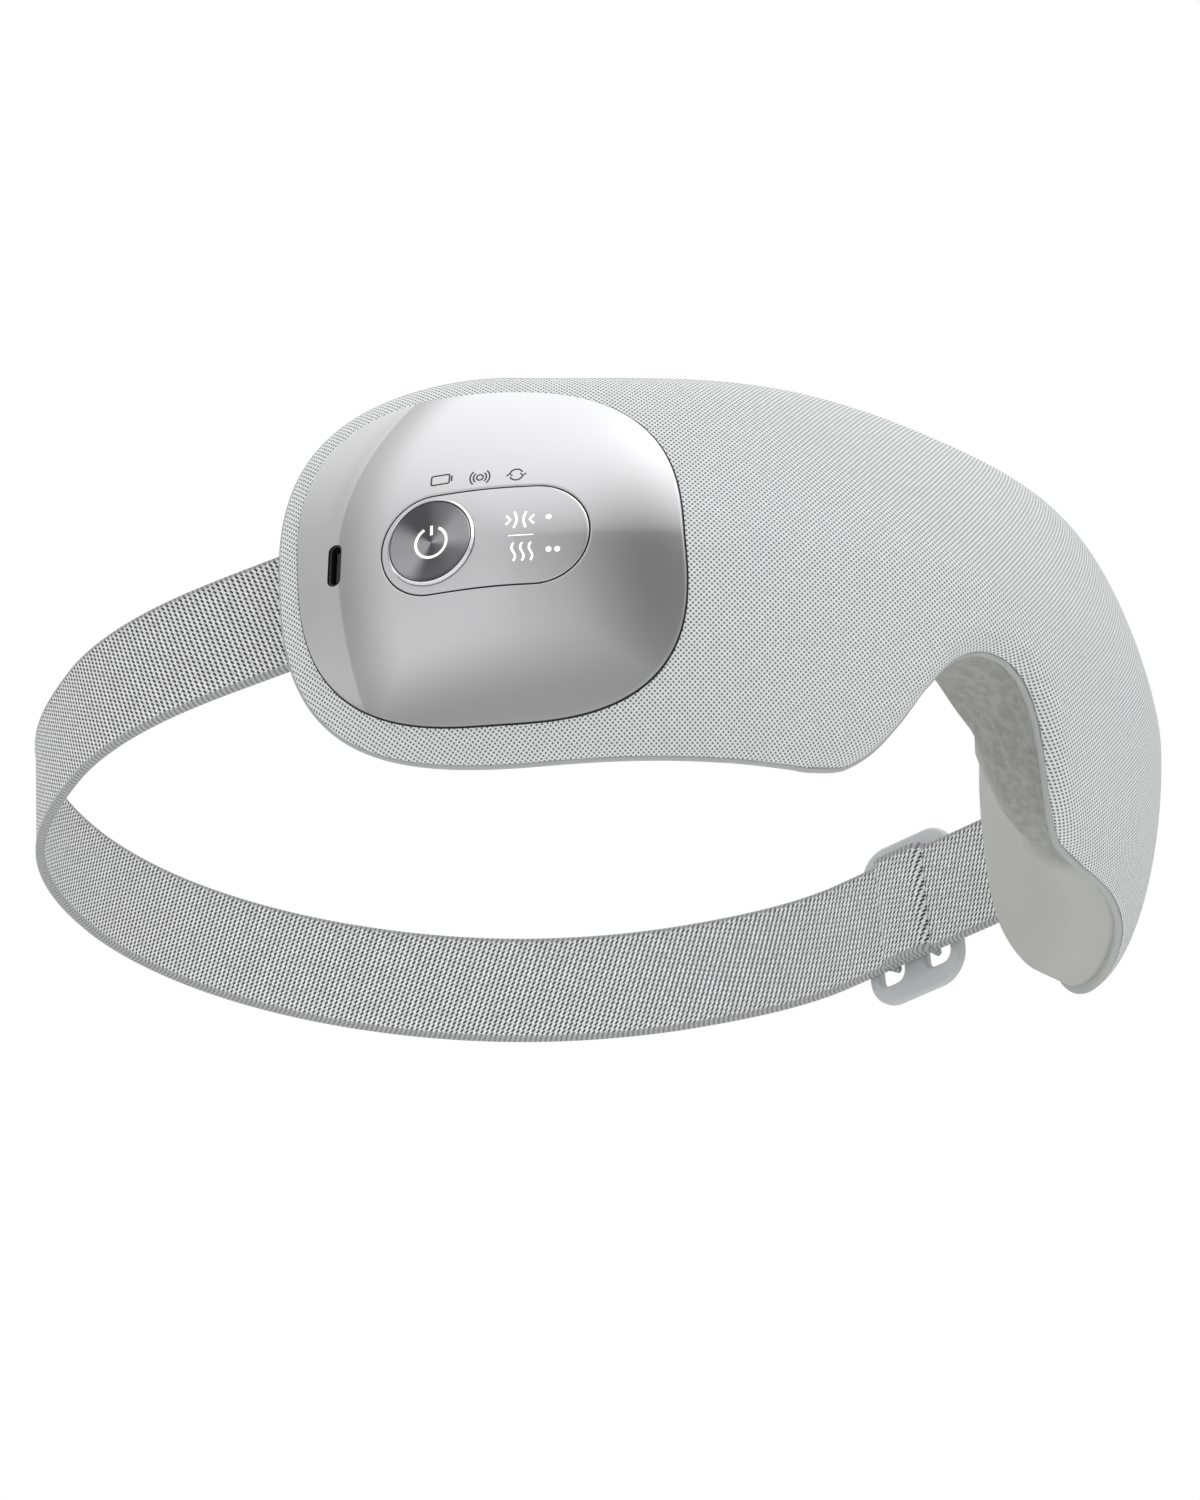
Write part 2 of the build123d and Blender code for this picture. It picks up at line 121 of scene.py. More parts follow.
def spot(s, depth, z):
    """Points at arc length s, depth behind the plan curve, and height z."""
    s, depth, z = np.broadcast_arrays(np.asarray(s, float), depth, z)
    h = heading(s)
    x = np.sign(s) * np.interp(np.abs(s), ARC, PLAN_X) - np.sin(h) * depth
    y = np.interp(np.abs(s), ARC, PLAN_Y) - CUSHION_BACK + np.cos(h) * depth
    return np.stack([x, y, z], -1)


def closing(s, inset=0.0):
    """How far the outline has closed to its tip: 0 on the straight part, 1 at the tip."""
    return np.clip((np.abs(s) - TAPER_START) / (HALF_ARC - inset - TAPER_START), 0, 1)


def outline(s, inset=0.0):
    """Lowest and highest z at arc length s, without the notch."""
    u = np.abs(s) / 104
    top = TOP - 6.87 * u**2 + 8.89 * u**4 - inset
    bottom = BOTTOM + 2.0 * u**2 + inset
    e = closing(s, inset)
    half = (top - bottom) / 2 * (1 - e**1.95) ** 0.403
    middle = (top + bottom) / 2 - TIP_DROP * e * e
    return middle - half, middle + half


def front_depth(s, z, inset=0.0):
    """Depth of the crowned front behind the plan curve."""
    low, high = outline(s, inset)
    r = np.clip((2 * z - low - high) / np.maximum(high - low, 1e-6), -1, 1)
    open_part = (1 - closing(s, inset) ** 1.95) * (1 - np.abs(r) ** 2.2)
    rim = np.maximum(1 - open_part, 0) ** (1 / 2.2)
    fall = 1 - np.maximum(1 - rim**CROWN_POWER, 0) ** (1 / CROWN_POWER)
    bulge = NOSE_BULGE * np.exp(-((s / NOSE_REACH) ** 2)) * (1 - r * r)
    return inset + (CROWN - inset) * fall - bulge


def smooth_curve(x, knots):
    """Cubic curve through knots, level at the first one."""
    xs, zs = np.array(knots, float).T
    slopes = np.gradient(zs, xs)
    slopes[0] = 0
    i = np.clip(np.searchsorted(xs, x) - 1, 0, len(xs) - 2)
    h = xs[i + 1] - xs[i]
    t = np.clip((x - xs[i]) / h, 0, 1)
    return ((2 * t**3 - 3 * t**2 + 1) * zs[i] + (t**3 - 2 * t**2 + t) * h * slopes[i]
            + (3 * t**2 - 2 * t**3) * zs[i + 1] + (t**3 - t**2) * h * slopes[i + 1])


def notch_height(s, depth=4.0):
    """Height of the nose notch's edge at arc length s."""
    x = np.abs(spot(s, depth, 0)[..., 0])
    return smooth_curve(x, NOTCH) - np.maximum(x - NOTCH[-1][0], 0)


def smooth_max(a, b, width):
    return (a + b + np.sqrt((a - b) ** 2 + width**2)) / 2


def eased(t):
    """Smooth step from 0 to 1."""
    t = np.clip(t, 0, 1)
    return t * t * (3 - 2 * t)


def lengths(line):
    """Length along a line, at each of its points."""
    return np.concatenate([[0], np.cumsum(np.linalg.norm(np.diff(line, axis=0), axis=1))])


def resampled(line, places):
    """Points of a plane line at lengths along it."""
    length = lengths(line)
    return np.stack([np.interp(places, length, line[:, k]) for k in (0, 1)], 1)


def directions(line):
    way = np.gradient(line, axis=0)
    return way / np.linalg.norm(way, axis=1, keepdims=True)


def edges(s, inset=0.0):
    """Lowest and highest z at arc length s, with the notch."""
    low, high = outline(s, inset)
    notch = notch_height(s) + inset
    return np.where(np.abs(s) < 60, smooth_max(low, notch, 1.0), low), high


def notch_distance(s, z):
    """Distance from the notch's edge, along the housing."""
    slope = (notch_height(s + 0.2) - notch_height(s - 0.2)) / 0.4
    return (z - notch_height(s)) / np.sqrt(1 + slope**2)


def rolled(distance, reach, drop):
    """Quarter ellipse: drop at distance 0, and 0 from distance reach on."""
    t = np.clip(1 - distance / reach, 0, 1)
    return drop * (1 - np.sqrt(1 - t * t))


def cloth_depth(s, z, inset=0.0):
    """Depth of the cloth, which rolls in round the notch."""
    depth = front_depth(s, z, inset) + rolled(notch_distance(s, z) - inset, 3.6, EDGE_ROLL)
    return np.minimum(depth, CROWN)


def surface(s, z, lift=0.0):
    """Points on the housing's front, lifted along its normal."""
    s, z = np.broadcast_arrays(np.asarray(s, float), z)
    at = spot(s, front_depth(s, z), z)
    step = 0.3
    along = spot(s + step, front_depth(s + step, z), z) - spot(s - step, front_depth(s - step, z), z)
    up = spot(s, front_depth(s, z + step), z + step) - spot(s, front_depth(s, z - step), z - step)
    normal = np.cross(along, up)
    normal /= np.linalg.norm(normal, axis=-1, keepdims=True)
    return at + normal * np.asarray(lift)[..., None]


def facing(s, z, tilt=0.0, lift=0.0):
    """Matrix of a plane on the front: its x is along the housing and its z is outwards."""
    step = 0.5
    origin = Vector(surface(s, z, lift))
    x = (Vector(surface(s + step, z)) - Vector(surface(s - step, z))).normalized()
    up = Vector(surface(s, z + step)) - Vector(surface(s, z - step))
    normal = x.cross(up).normalized()
    plane = Matrix((x, normal.cross(x), normal)).transposed().to_4x4()
    plane.translation = origin
    return plane @ Matrix.Rotation(radians(tilt), 4, "Z")


PANEL_PLANE = facing(PANEL_ARC, PANEL_Z, PANEL_TILT)
PILL_PLANE = facing(PILL_ARC, PILL_Z, PILL_TILT)
BUTTON_PLANE = facing(BUTTON_ARC, BUTTON_Z, PILL_TILT, PROUD)
USB_PLANE = facing(USB_ARC, USB_Z, 90 + PILL_TILT, PROUD)


def on_plane(plane, points):
    """x and y of points on a plane."""
    m = np.array(plane)
    offset = points - m[:3, 3]
    return offset @ m[:3, 0], offset @ m[:3, 1]


def panel_side(points, grow=0.0):
    """Below 0 inside the panel's outline."""
    x, y = on_plane(PANEL_PLANE, points)
    a, b = PANEL_HALF[0] + grow, PANEL_HALF[1] + grow
    return np.abs((x - PANEL_LEAN * y) / a) ** PANEL_POWER + np.abs(y / b) ** PANEL_POWER - 1


def panel_outline(grow):
    """Points of the panel's outline on its plane."""
    points = []
    for i in range(120):
        t = 2 * pi * i / 120
        a, b = PANEL_HALF[0] + grow, PANEL_HALF[1] + grow
        radius = (abs(cos(t) / a) ** PANEL_POWER + abs(sin(t) / b) ** PANEL_POWER) ** (-1 / PANEL_POWER)
        points.append((radius * (cos(t) + PANEL_LEAN * sin(t)), radius * sin(t)))
    return points


def pill_side(points, grow=0.0):
    x, y = on_plane(PILL_PLANE, points)
    radius = PILL_SIZE[1] / 2
    beyond = np.maximum(np.abs(x) - (PILL_SIZE[0] / 2 - radius), 0)
    return np.hypot(beyond, y) - radius - grow


def ring_side(points, grow=0.0):
    x, y = on_plane(BUTTON_PLANE, points)
    return np.hypot(x, y) - RING_RADIUS - grow


# ---- meshes ----
def smooth(piece, angle=40):
    for polygon in piece.data.polygons:
        polygon.use_smooth = True
    piece.data.set_sharp_from_angle(angle=radians(angle))


def piece_of(name, points, faces, material, uv=None, angle=40):
    """A piece from points in mm and faces, with a UV per point in mm."""
    mesh = bpy.data.meshes.new(name)
    mesh.from_pydata((np.asarray(points, float) * MM).tolist(), [], faces)
    if uv is not None:
        layer = mesh.uv_layers.new(name="flat")
        corner = np.zeros(len(mesh.loops), np.int32)
        mesh.loops.foreach_get("vertex_index", corner)
        layer.data.foreach_set("uv", np.asarray(uv, np.float32)[corner].ravel())
    mesh.materials.append(material)
    piece = bpy.data.objects.new(name, mesh)
    bpy.context.scene.collection.objects.link(piece)
    smooth(piece, angle)
    return piece


def grid_faces(rows, columns, close_rows=False, close_columns=False, start=0):
    """Quads of a grid of points, row by row."""
    faces = []
    for i in range(rows if close_rows else rows - 1):
        for j in range(columns if close_columns else columns - 1):
            a, b = i, (i + 1) % rows
            c, d = j, (j + 1) % columns
            faces.append((start + a * columns + c, start + a * columns + d,
                          start + b * columns + d, start + b * columns + c))
    return faces


def tidy_mesh(piece, distance=0.00001):
    """Merges doubled points and turns the faces outwards."""
    work = bmesh.new()
    work.from_mesh(piece.data)
    bmesh.ops.remove_doubles(work, verts=work.verts, dist=distance)
    bmesh.ops.dissolve_degenerate(work, dist=distance / 2, edges=work.edges)
    bmesh.ops.recalc_face_normals(work, faces=work.faces)
    work.to_mesh(piece.data)
    work.free()
    return piece


def cut(piece, cutter):
    """Takes the cutter out of the piece and removes it."""
    modifier = piece.modifiers.new("cut", "BOOLEAN")
    modifier.object = cutter
    modifier.operation = "DIFFERENCE"
    modifier.solver = "EXACT"
    bpy.context.view_layer.objects.active = piece
    bpy.ops.object.modifier_apply(modifier=modifier.name)
    bpy.data.objects.remove(cutter)


def prism(name, plane, outline_points, low, high):
    """Closed prism of an outline on a plane, from low to high along its normal."""
    m = np.array(plane)
    flat_points = np.array(outline_points, float)
    base = m[:3, 3] + flat_points[:, :1] * m[:3, 0] + flat_points[:, 1:] * m[:3, 1]
    count = len(base)
    points = np.concatenate([base + m[:3, 2] * low, base + m[:3, 2] * high])
    faces = [tuple(range(count))[::-1], tuple(range(count, 2 * count))]
    faces += [(i, (i + 1) % count, count + (i + 1) % count, count + i) for i in range(count)]
    return piece_of(name, points, faces, PLAIN)


def rounded_rectangle(width, height, radius, steps=8):
    points = []
    for cx, cy, start in ((1, 1, 0), (-1, 1, 90), (-1, -1, 180), (1, -1, 270)):
        for i in range(steps + 1):
            t = radians(start + 90 * i / steps)
            points.append((cx * (width / 2 - radius) + radius * cos(t),
                           cy * (height / 2 - radius) + radius * sin(t)))
    return points


def lathe(name, profile, material, plane, count=160, angle=30):
    """A turned piece about a plane's z; the profile is a list of (radius, height)."""
    turns = np.linspace(0, 2 * pi, count, endpoint=False)
    rows = [[(r * cos(t), r * sin(t), h) for t in turns] for r, h in profile]
    points = np.array(rows).reshape(-1, 3)
    uv = np.array([[(t * 8, i) for t in turns] for i in range(len(profile))]).reshape(-1, 2)
    piece = piece_of(name, points, grid_faces(len(profile), count, close_columns=True), material, uv, angle)
    tidy_mesh(piece)
    smooth(piece, angle)
    placed = plane.copy()
    placed.translation = plane.translation * MM
    piece.matrix_world = placed
    return piece


# ---- materials ----
def material(name, colour, roughness, metallic=0.0, **sockets):
    made = bpy.data.materials.new(name)
    made.use_nodes = True
    shader = made.node_tree.nodes["Principled BSDF"]
    shader.inputs["Base Color"].default_value = (*colour, 1)
    shader.inputs["Roughness"].default_value = roughness
    shader.inputs["Metallic"].default_value = metallic
    for socket, value in sockets.items():
        shader.inputs[socket.replace("_", " ")].default_value = value
    return made


class Nodes:
    """Short forms for building the nodes of one material, or of the world."""

    def __init__(self, made):
        self.tree = made.node_tree
        self.shader = self.tree.nodes.get("Principled BSDF")

    def add(self, kind, inputs=(), **settings):
        made = self.tree.nodes.new("ShaderNode" + kind)
        for key, value in settings.items():
            setattr(made, key, value)
        for key, value in dict(inputs).items():
            self.put(value, made.inputs[key])
        return made

    def put(self, value, socket):
        if isinstance(value, bpy.types.NodeSocket):
            self.tree.links.new(value, socket)
        else:
            socket.default_value = value

    def math(self, operation, a, b=0.0, c=0.0):
        return self.add("Math", {0: a, 1: b, 2: c}, operation=operation).outputs[0]

    def where(self):
        return self.add("TexCoord").outputs["Object"]

    def axes(self, coordinate):
        """x, y and z of a coordinate."""
        return self.add("SeparateXYZ", {0: coordinate}).outputs

    def flat(self):
        """x and y of the piece's own UV, in mm."""
        return self.axes(self.add("UVMap", uv_map="flat").outputs[0])[:2]

    def noise(self, scale, detail=3.0):
        """Noise in object space; scale is per metre."""
        return self.add("TexNoise", {"Vector": self.where(), "Scale": scale, "Detail": detail}).outputs[0]

    def ramp(self, value, low, high):
        """0 at low, 1 at high, smooth between them."""
        return self.add("MapRange", {0: value, 1: low, 2: high}, interpolation_type="SMOOTHSTEP").outputs[0]

    def mixed(self, share, a, b):
        made = self.add("Mix", data_type="RGBA")
        self.put(share, made.inputs[0])
        self.put((*a, 1) if isinstance(a, tuple) else a, made.inputs[6])
        self.put((*b, 1) if isinstance(b, tuple) else b, made.inputs[7])
        return made.outputs[2]

    def colour(self, value):
        self.put(value, self.shader.inputs["Base Color"])

    def roughness(self, value):
        self.put(value, self.shader.inputs["Roughness"])

    def bump(self, height, distance, strength=1.0):
        made = self.add("Bump", {"Height": height, "Distance": distance, "Strength": strength})
        self.put(made.outputs[0], self.shader.inputs["Normal"])


def woven_cloth():
    """Fine plain weave: light thread with small dark gaps on a diagonal lattice."""
    made = material("woven_cloth", (0.72, 0.745, 0.74), 0.85, Sheen_Weight=0.25, Sheen_Roughness=0.5)
    n = Nodes(made)
    x, y = n.flat()
    pitch = 1.06
    a = n.math("SINE", n.math("MULTIPLY", x, 2 * pi / pitch))
    b = n.math("SINE", n.math("MULTIPLY", y, 2 * pi / pitch))
    gap = n.ramp(n.math("MULTIPLY", a, b), 0.05, 0.62)
    slub = n.noise(900, 2.0)
    shade = n.mixed(n.ramp(slub, 0.3, 0.7), (0.80, 0.82, 0.82), (0.87, 0.885, 0.885))
    n.colour(n.mixed(gap, shade, (0.15, 0.16, 0.16)))
    n.bump(n.math("SUBTRACT", 1.0, gap), 0.0001, 0.5)
    return made


def webbing():
    """Elastic twill: slanted ribs across the band with dark flecks between them."""
    made = material("webbing", (0.6, 0.6, 0.6), 0.8, Sheen_Weight=0.2, Sheen_Roughness=0.5)
    n = Nodes(made)
    x, y = n.flat()
    slant = n.math("MULTIPLY_ADD", y, 0.36, x)
    rib = n.math("SINE", n.math("MULTIPLY", slant, 2 * pi / 1.15))
    thread = n.math("SINE", n.math("MULTIPLY", n.math("MULTIPLY_ADD", x, 0.55, y), 2 * pi / 0.85))
    fleck = n.ramp(n.math("MULTIPLY_ADD", rib, 0.75, n.math("MULTIPLY", thread, 0.55)), 0.0, 0.6)
    fray = n.noise(1400, 3.0)
    light = n.mixed(n.ramp(fray, 0.35, 0.65), (0.72, 0.725, 0.725), (0.96, 0.965, 0.965))
    edge = n.ramp(n.math("ABSOLUTE", y), STRAP_WIDTH / 2 - 1.3, STRAP_WIDTH / 2 - 0.9)
    body = n.mixed(fleck, light, (0.03, 0.032, 0.032))
    bound = n.mixed(n.ramp(rib, -0.2, 0.8), (0.5, 0.505, 0.505), (0.27, 0.275, 0.275))
    n.colour(n.mixed(edge, body, bound))
    n.bump(n.math("MULTIPLY_ADD", fray, 0.25, n.math("SUBTRACT", 1.0, fleck)), 0.0002, 0.8)
    return made


def crease_height(z):
    """Shift of the panel's crease with height."""
    return CREASE_ABOVE * np.maximum(z - CREASE_Z, 0) ** 2 + CREASE_BELOW * np.minimum(z - CREASE_Z, 0) ** 2


def brushed_silver():
    """Satin anodised panel: very fine grain, and painted shade in the base colour, darker along the crease,
    over the side facet, towards the lower edge and towards the panel's end nearer the middle.
    """
    made = material("satin_silver", (0.62, 0.625, 0.635), 0.34, 1.0)
    n = Nodes(made)
    x, y, z = n.axes(n.where())
    way = spot(CREASE_ARC + 1, 0, 0) - spot(CREASE_ARC, 0, 0)

    def along(s):
        return float(spot(s, 0, 0) @ way)
    run = n.math("MULTIPLY_ADD", x, way[0] / MM, n.math("MULTIPLY", y, way[1] / MM))
    height = n.math("MULTIPLY", z, 1 / MM)
    above = n.math("MAXIMUM", n.math("SUBTRACT", height, CREASE_Z), 0.0)
    below = n.math("MINIMUM", n.math("SUBTRACT", height, CREASE_Z), 0.0)
    lean = n.math("MULTIPLY_ADD", n.math("MULTIPLY", above, above), CREASE_ABOVE,
                  n.math("MULTIPLY", n.math("MULTIPLY", below, below), CREASE_BELOW))
    past = n.math("SUBTRACT", n.math("SUBTRACT", run, along(CREASE_ARC)), lean)
    # painted shade along the valley of the crease
    crease = n.math("MULTIPLY", n.ramp(past, -0.6, 0.4), n.math("SUBTRACT", 1.0, n.ramp(past, 0.0, 12.0)))
    # painted shade towards the lower edge
    low = n.math("SUBTRACT", 1.0, n.ramp(height, -27.0, -12.0))
    # painted shade towards the panel's end nearer the middle, fading out upwards
    side = n.math("MULTIPLY", n.ramp(run, along(-90), along(-72)),
                  n.math("SUBTRACT", 1.0, n.ramp(height, -4.0, 32.0)))
    # painted shade over the side facet past the crease
    painted_facet_shade = n.math("MULTIPLY", 0.45, n.math("SUBTRACT", 1.0, n.ramp(past, 0.4, 1.0)))
    # dark is the painted shade, the strongest of the four
    dark = n.math("MAXIMUM", n.math("MAXIMUM", low, side), n.math("MAXIMUM", crease, painted_facet_shade))
    grain = n.noise(5200, 2.0)
    # the lighter colour is the metal's own; the darker one is painted shade
    n.colour(n.mixed(dark, (0.66, 0.66, 0.67), (0.40, 0.40, 0.405)))
    n.roughness(n.math("MULTIPLY_ADD", grain, 0.08, 0.30))
    n.bump(grain, 0.00001, 0.25)
    return made


def spun_metal():
    """Turned metal: fine rings, and a painted reflection in the base colour, dark and light sectors round the
    axis.
    """
    made = material("spun_metal", (0.42, 0.42, 0.43), 0.3, 1.0, Anisotropic=0.8)
    n = Nodes(made)
    x, y = n.axes(n.where())[:2]
    turn = n.math("ARCTAN2", y, x)
    painted_spin_reflection = n.math("SINE", n.math("MULTIPLY_ADD", turn, 2.0, 0.9))
    painted_fine_reflection = n.math("SINE", n.math("MULTIPLY_ADD", turn, 5.0, 0.3))
    # painted reflection: the base colour goes between a dark and a light tone round the axis
    n.colour(n.mixed(n.ramp(n.math("MULTIPLY_ADD", painted_fine_reflection, 0.25, painted_spin_reflection), -1.0, 1.1), (0.10, 0.10, 0.105),
                     (0.40, 0.40, 0.41)))
    radius = n.math("SQRT", n.math("ADD", n.math("MULTIPLY", x, x), n.math("MULTIPLY", y, y)))
    rings = n.math("SINE", n.math("MULTIPLY", radius, 2 * pi / 0.00022))
    scatter = n.add("TexNoise", {"Vector": n.add("CombineXYZ", {0: radius}).outputs[0], "Scale": 9000.0})
    n.bump(n.math("MULTIPLY_ADD", scatter.outputs[0], 0.8, rings), 0.000006, 0.5)
    tangent = n.add("Tangent", direction_type="RADIAL", axis="Z")
    n.put(tangent.outputs[0], n.shader.inputs["Tangent"])
    return made


def polished_metal():
    made = material("polished_metal", (0.85, 0.85, 0.86), 0.16, 1.0)
    n = Nodes(made)
    n.roughness(n.math("MULTIPLY_ADD", n.noise(3000, 2.0), 0.08, 0.12))
    return made


def pad_leather():
    """Synthetic leather: smooth on the face, and where the UV's x is 1 a coarser grain with a darker colour,
    partly the leather's own and partly painted shade.
    """
    made = material("pad_leather", (0.4, 0.4, 0.37), 0.55)
    n = Nodes(made)
    wall = n.flat()[0]
    cells = n.add("TexVoronoi", {"Vector": n.where(), "Scale": 760.0}, feature="SMOOTH_F1").outputs[0]
    creases = n.noise(520, 4.0)
    pores = n.noise(2400, 2.0)
    face = n.mixed(n.ramp(pores, 0.3, 0.7), (0.49, 0.495, 0.46), (0.52, 0.525, 0.49))
    # the wall's colour: darker, partly the leather's own and partly painted shade
    grain = n.mixed(n.ramp(creases, 0.35, 0.65), (0.33, 0.335, 0.31), (0.41, 0.415, 0.385))
    n.colour(n.mixed(wall, face, grain))
    n.roughness(n.math("MULTIPLY_ADD", pores, 0.12, 0.5))
    relief = n.math("MULTIPLY", n.math("MULTIPLY_ADD", creases, 2.2, cells),
                    n.math("MULTIPLY_ADD", wall, 0.94, 0.06))
    n.bump(relief, 0.00032, 0.8)
    return made


def plastic(name, colour, roughness=0.45, grain=2600, depth=0.00001, **sockets):
    """Moulded plastic with a fine spark texture."""
    made = material(name, colour, roughness, **sockets)
    n = Nodes(made)
    speck = n.noise(grain, 3.0)
    darker = tuple(c * 0.95 for c in colour)
    n.colour(n.mixed(n.ramp(speck, 0.3, 0.7), darker, colour))
    n.roughness(n.math("MULTIPLY_ADD", speck, 0.12, roughness - 0.06))
    n.bump(speck, depth, 0.4)
    return made


def metal(name, colour, roughness):
    made = material(name, colour, roughness, 1.0)
    n = Nodes(made)
    streak = n.noise(1500, 2.0)
    n.colour(n.mixed(n.ramp(streak, 0.3, 0.7), tuple(c * 0.9 for c in colour), colour))
    n.roughness(n.math("MULTIPLY_ADD", streak, 0.15, roughness - 0.07))
    return made


def glowing(name, colour, strength):
    return material(name, colour, 0.4, Emission_Color=(*colour, 1), Emission_Strength=strength)


PLAIN = plastic("plain_grey", (0.4, 0.4, 0.4))
CLOTH_MATERIAL = woven_cloth()
WEBBING = webbing()
SILVER = brushed_silver()
SPUN = spun_metal()
POLISHED = polished_metal()
PAD_LEATHER = pad_leather()
SHELL_PLASTIC = plastic("shell_plastic", (0.55, 0.56, 0.56))
LIP_PLASTIC = plastic("lip_plastic", (0.47, 0.485, 0.47))
GLIDE_PLASTIC = plastic("glide_plastic", (0.58, 0.60, 0.605), 0.4)
# black for the gaps round the panel and the insert: painted shade, in place of the shadow in those grooves
PAINTED_GAP_SHADE = plastic("painted_gap_shade", (0.012, 0.012, 0.013), 0.7)
BLACK = plastic("black_plastic", (0.015, 0.015, 0.016), 0.35)
INK = plastic("dark_print", (0.03, 0.03, 0.033), 0.6)
LIT = glowing("white_print", (0.95, 0.95, 0.96), 0.6)


# ---- cloth cover ----
def columns(inset=0.0):
    """Arc lengths across the housing, close together at the tips."""
    flat = np.arange(0, TAPER_START, 1.1)
    closing_share = 1 - (1 - np.linspace(0, 1, 56)) ** 2
    end = HALF_ARC - inset
    half = np.concatenate([flat, TAPER_START + (end - TAPER_START) * closing_share])
    return np.concatenate([-half[:0:-1], half])


def rows_between(count):
    return (1 - np.cos(np.linspace(0, pi, count))) / 2


def cloth_grid(inset, count):
    s = columns(inset)[:, None]
    low, high = edges(s, inset)
    z = low + (high - low) * rows_between(count)[None, :]
    return s, z, cloth_depth(s, z, inset)


def along_column(points, z):
    """Length along each column of points, equal to z near mid height."""
    steps = np.linalg.norm(np.diff(points, axis=1), axis=2)
    length = np.concatenate([np.zeros((len(points), 1)), np.cumsum(steps, axis=1)], 1)
    if z[0, 0] > z[0, -1]:
        return along_column(points[:, ::-1], z[:, ::-1])[:, ::-1]
    zero = np.clip(12.0, z[:, 0] + 1, z[:, -1] - 1)
    shift = [at - np.interp(at, heights, row) for at, heights, row in zip(zero, z, length)]
    return length + np.array(shift)[:, None]


def fabric_cover():
    count = 84
    s, z, depth = cloth_grid(0.0, count)
    outer = spot(s, depth, z)
    inner_s, inner_z, inner_depth = cloth_grid(CLOTH, count)
    rim = np.minimum(depth[:, [0, -1]], CROWN)
    inner_depth[:, 0], inner_depth[:, -1] = rim[:, 0], rim[:, 1]
    inner = spot(inner_s, inner_depth, inner_z)[:, ::-1]
    points = np.concatenate([outer, inner], 1)
    length = np.concatenate([along_column(outer, z), along_column(inner, inner_z[:, ::-1])], 1)
    uv = np.stack([np.broadcast_to(s, length.shape), length], -1)
    rows, across = points.shape[:2]
    faces = grid_faces(rows, across, close_columns=True)
    piece = piece_of("cloth_cover", points.reshape(-1, 3), faces, CLOTH_MATERIAL, uv.reshape(-1, 2), 50)
    tidy_mesh(piece)
    cut(piece, prism("cutter", PANEL_PLANE, panel_outline(0.3), -22, 12))
    smooth(piece, 50)
    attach(piece, "mask")
    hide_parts("fabric_cover")
    return piece


cloth = fabric_cover()


def front_shell():
    """The moulded shell's skin under the cloth."""
    count = 60
    s, z, depth = cloth_grid(CLOTH + SHELL_GAP, count)
    outer = spot(s, depth + SHELL_BACK, z)
    inner_s, inner_z, inner_depth = cloth_grid(CLOTH + SHELL_DEPTH, count)
    inner_depth[:, 0], inner_depth[:, -1] = depth[:, 0] + SHELL_BACK, depth[:, -1] + SHELL_BACK
    inner = spot(inner_s, inner_depth, inner_z)[:, ::-1]
    points = np.concatenate([outer, inner], 1)
    rows, across = points.shape[:2]
    piece = piece_of("shell_skin", points.reshape(-1, 3), grid_faces(rows, across, close_columns=True),
                     SHELL_PLASTIC, angle=50)
    tidy_mesh(piece)
    pill = rounded_rectangle(PILL_SIZE[0] - 1.2, PILL_SIZE[1] - 1.2, 9.5)
    slot = rounded_rectangle(USB_SLOT[0] + 1.6, USB_SLOT[1] + 1.6, 2)
    cut(piece, prism("cutter", PILL_PLANE, pill, -14, 8))
    cut(piece, prism("cutter", USB_PLANE, slot, -8, 6))
    smooth(piece, 50)
    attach(piece, "mask")
    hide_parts("front_shell")
    return piece


shell = front_shell()


# ---- frame lip and cushion ----
def perimeter(inset, count=760):
    """Closed loop round the housing's rim: arc length, height and outward normal of each point."""
    s = columns(inset)
    low, high = edges(s, inset)
    loop = np.concatenate([np.stack([s, low], 1), np.stack([s, high], 1)[::-1][1:-1]])
    closed = np.concatenate([loop, loop[:1]])
    even = resampled(closed, np.linspace(0, lengths(closed)[-1], count, endpoint=False))
    way = np.roll(even, -2, 0) - np.roll(even, 2, 0)
    way /= np.linalg.norm(way, axis=1, keepdims=True)
    return even[:, 0], even[:, 1], np.stack([way[:, 1], -way[:, 0]], 1)


def frame_lip():
    """The rear frame's lip, which stands out past the cloth all round."""
    s, z, normal = perimeter(0.0)
    depth = cloth_depth(s, z)
    profile = [(-2.2, 0.1), (0.1, 0.1), (0.32, 0.2), (0.46, 0.45), (0.5, 0.8), (0.44, 1.15), (0.22, 1.45),
               (-0.2, 1.6), (-2.2, 1.6)]
    rows = [spot(s + normal[:, 0] * o, depth + d, z + normal[:, 1] * o) for o, d in profile]
    points = np.array(rows).reshape(-1, 3)
    faces = grid_faces(len(profile), len(s), close_rows=True, close_columns=True)
    piece = piece_of("frame_lip", points, faces, LIP_PLASTIC, angle=60)
    tidy_mesh(piece)
    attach(piece, "mask")
    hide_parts("rear_frame")


frame_lip()


def rim_distance(s, z, inset):
    """Distance from the outline without the notch."""
    def field(s_at, z_at):
        low, high = outline(s_at, inset)
        r = (2 * z_at - low - high) / np.maximum(high - low, 1e-6)
        return (1 - closing(s_at, inset) ** 1.95) * (1 - np.abs(r) ** 2.2)
    step = 0.15
    here = field(s, z)
    gs = (field(s + step, z) - field(s - step, z)) / (2 * step)
    gz = (field(s, z + step) - field(s, z - step)) / (2 * step)
    return np.maximum(here, 0) / np.maximum(np.hypot(gs, gz), 0.008)


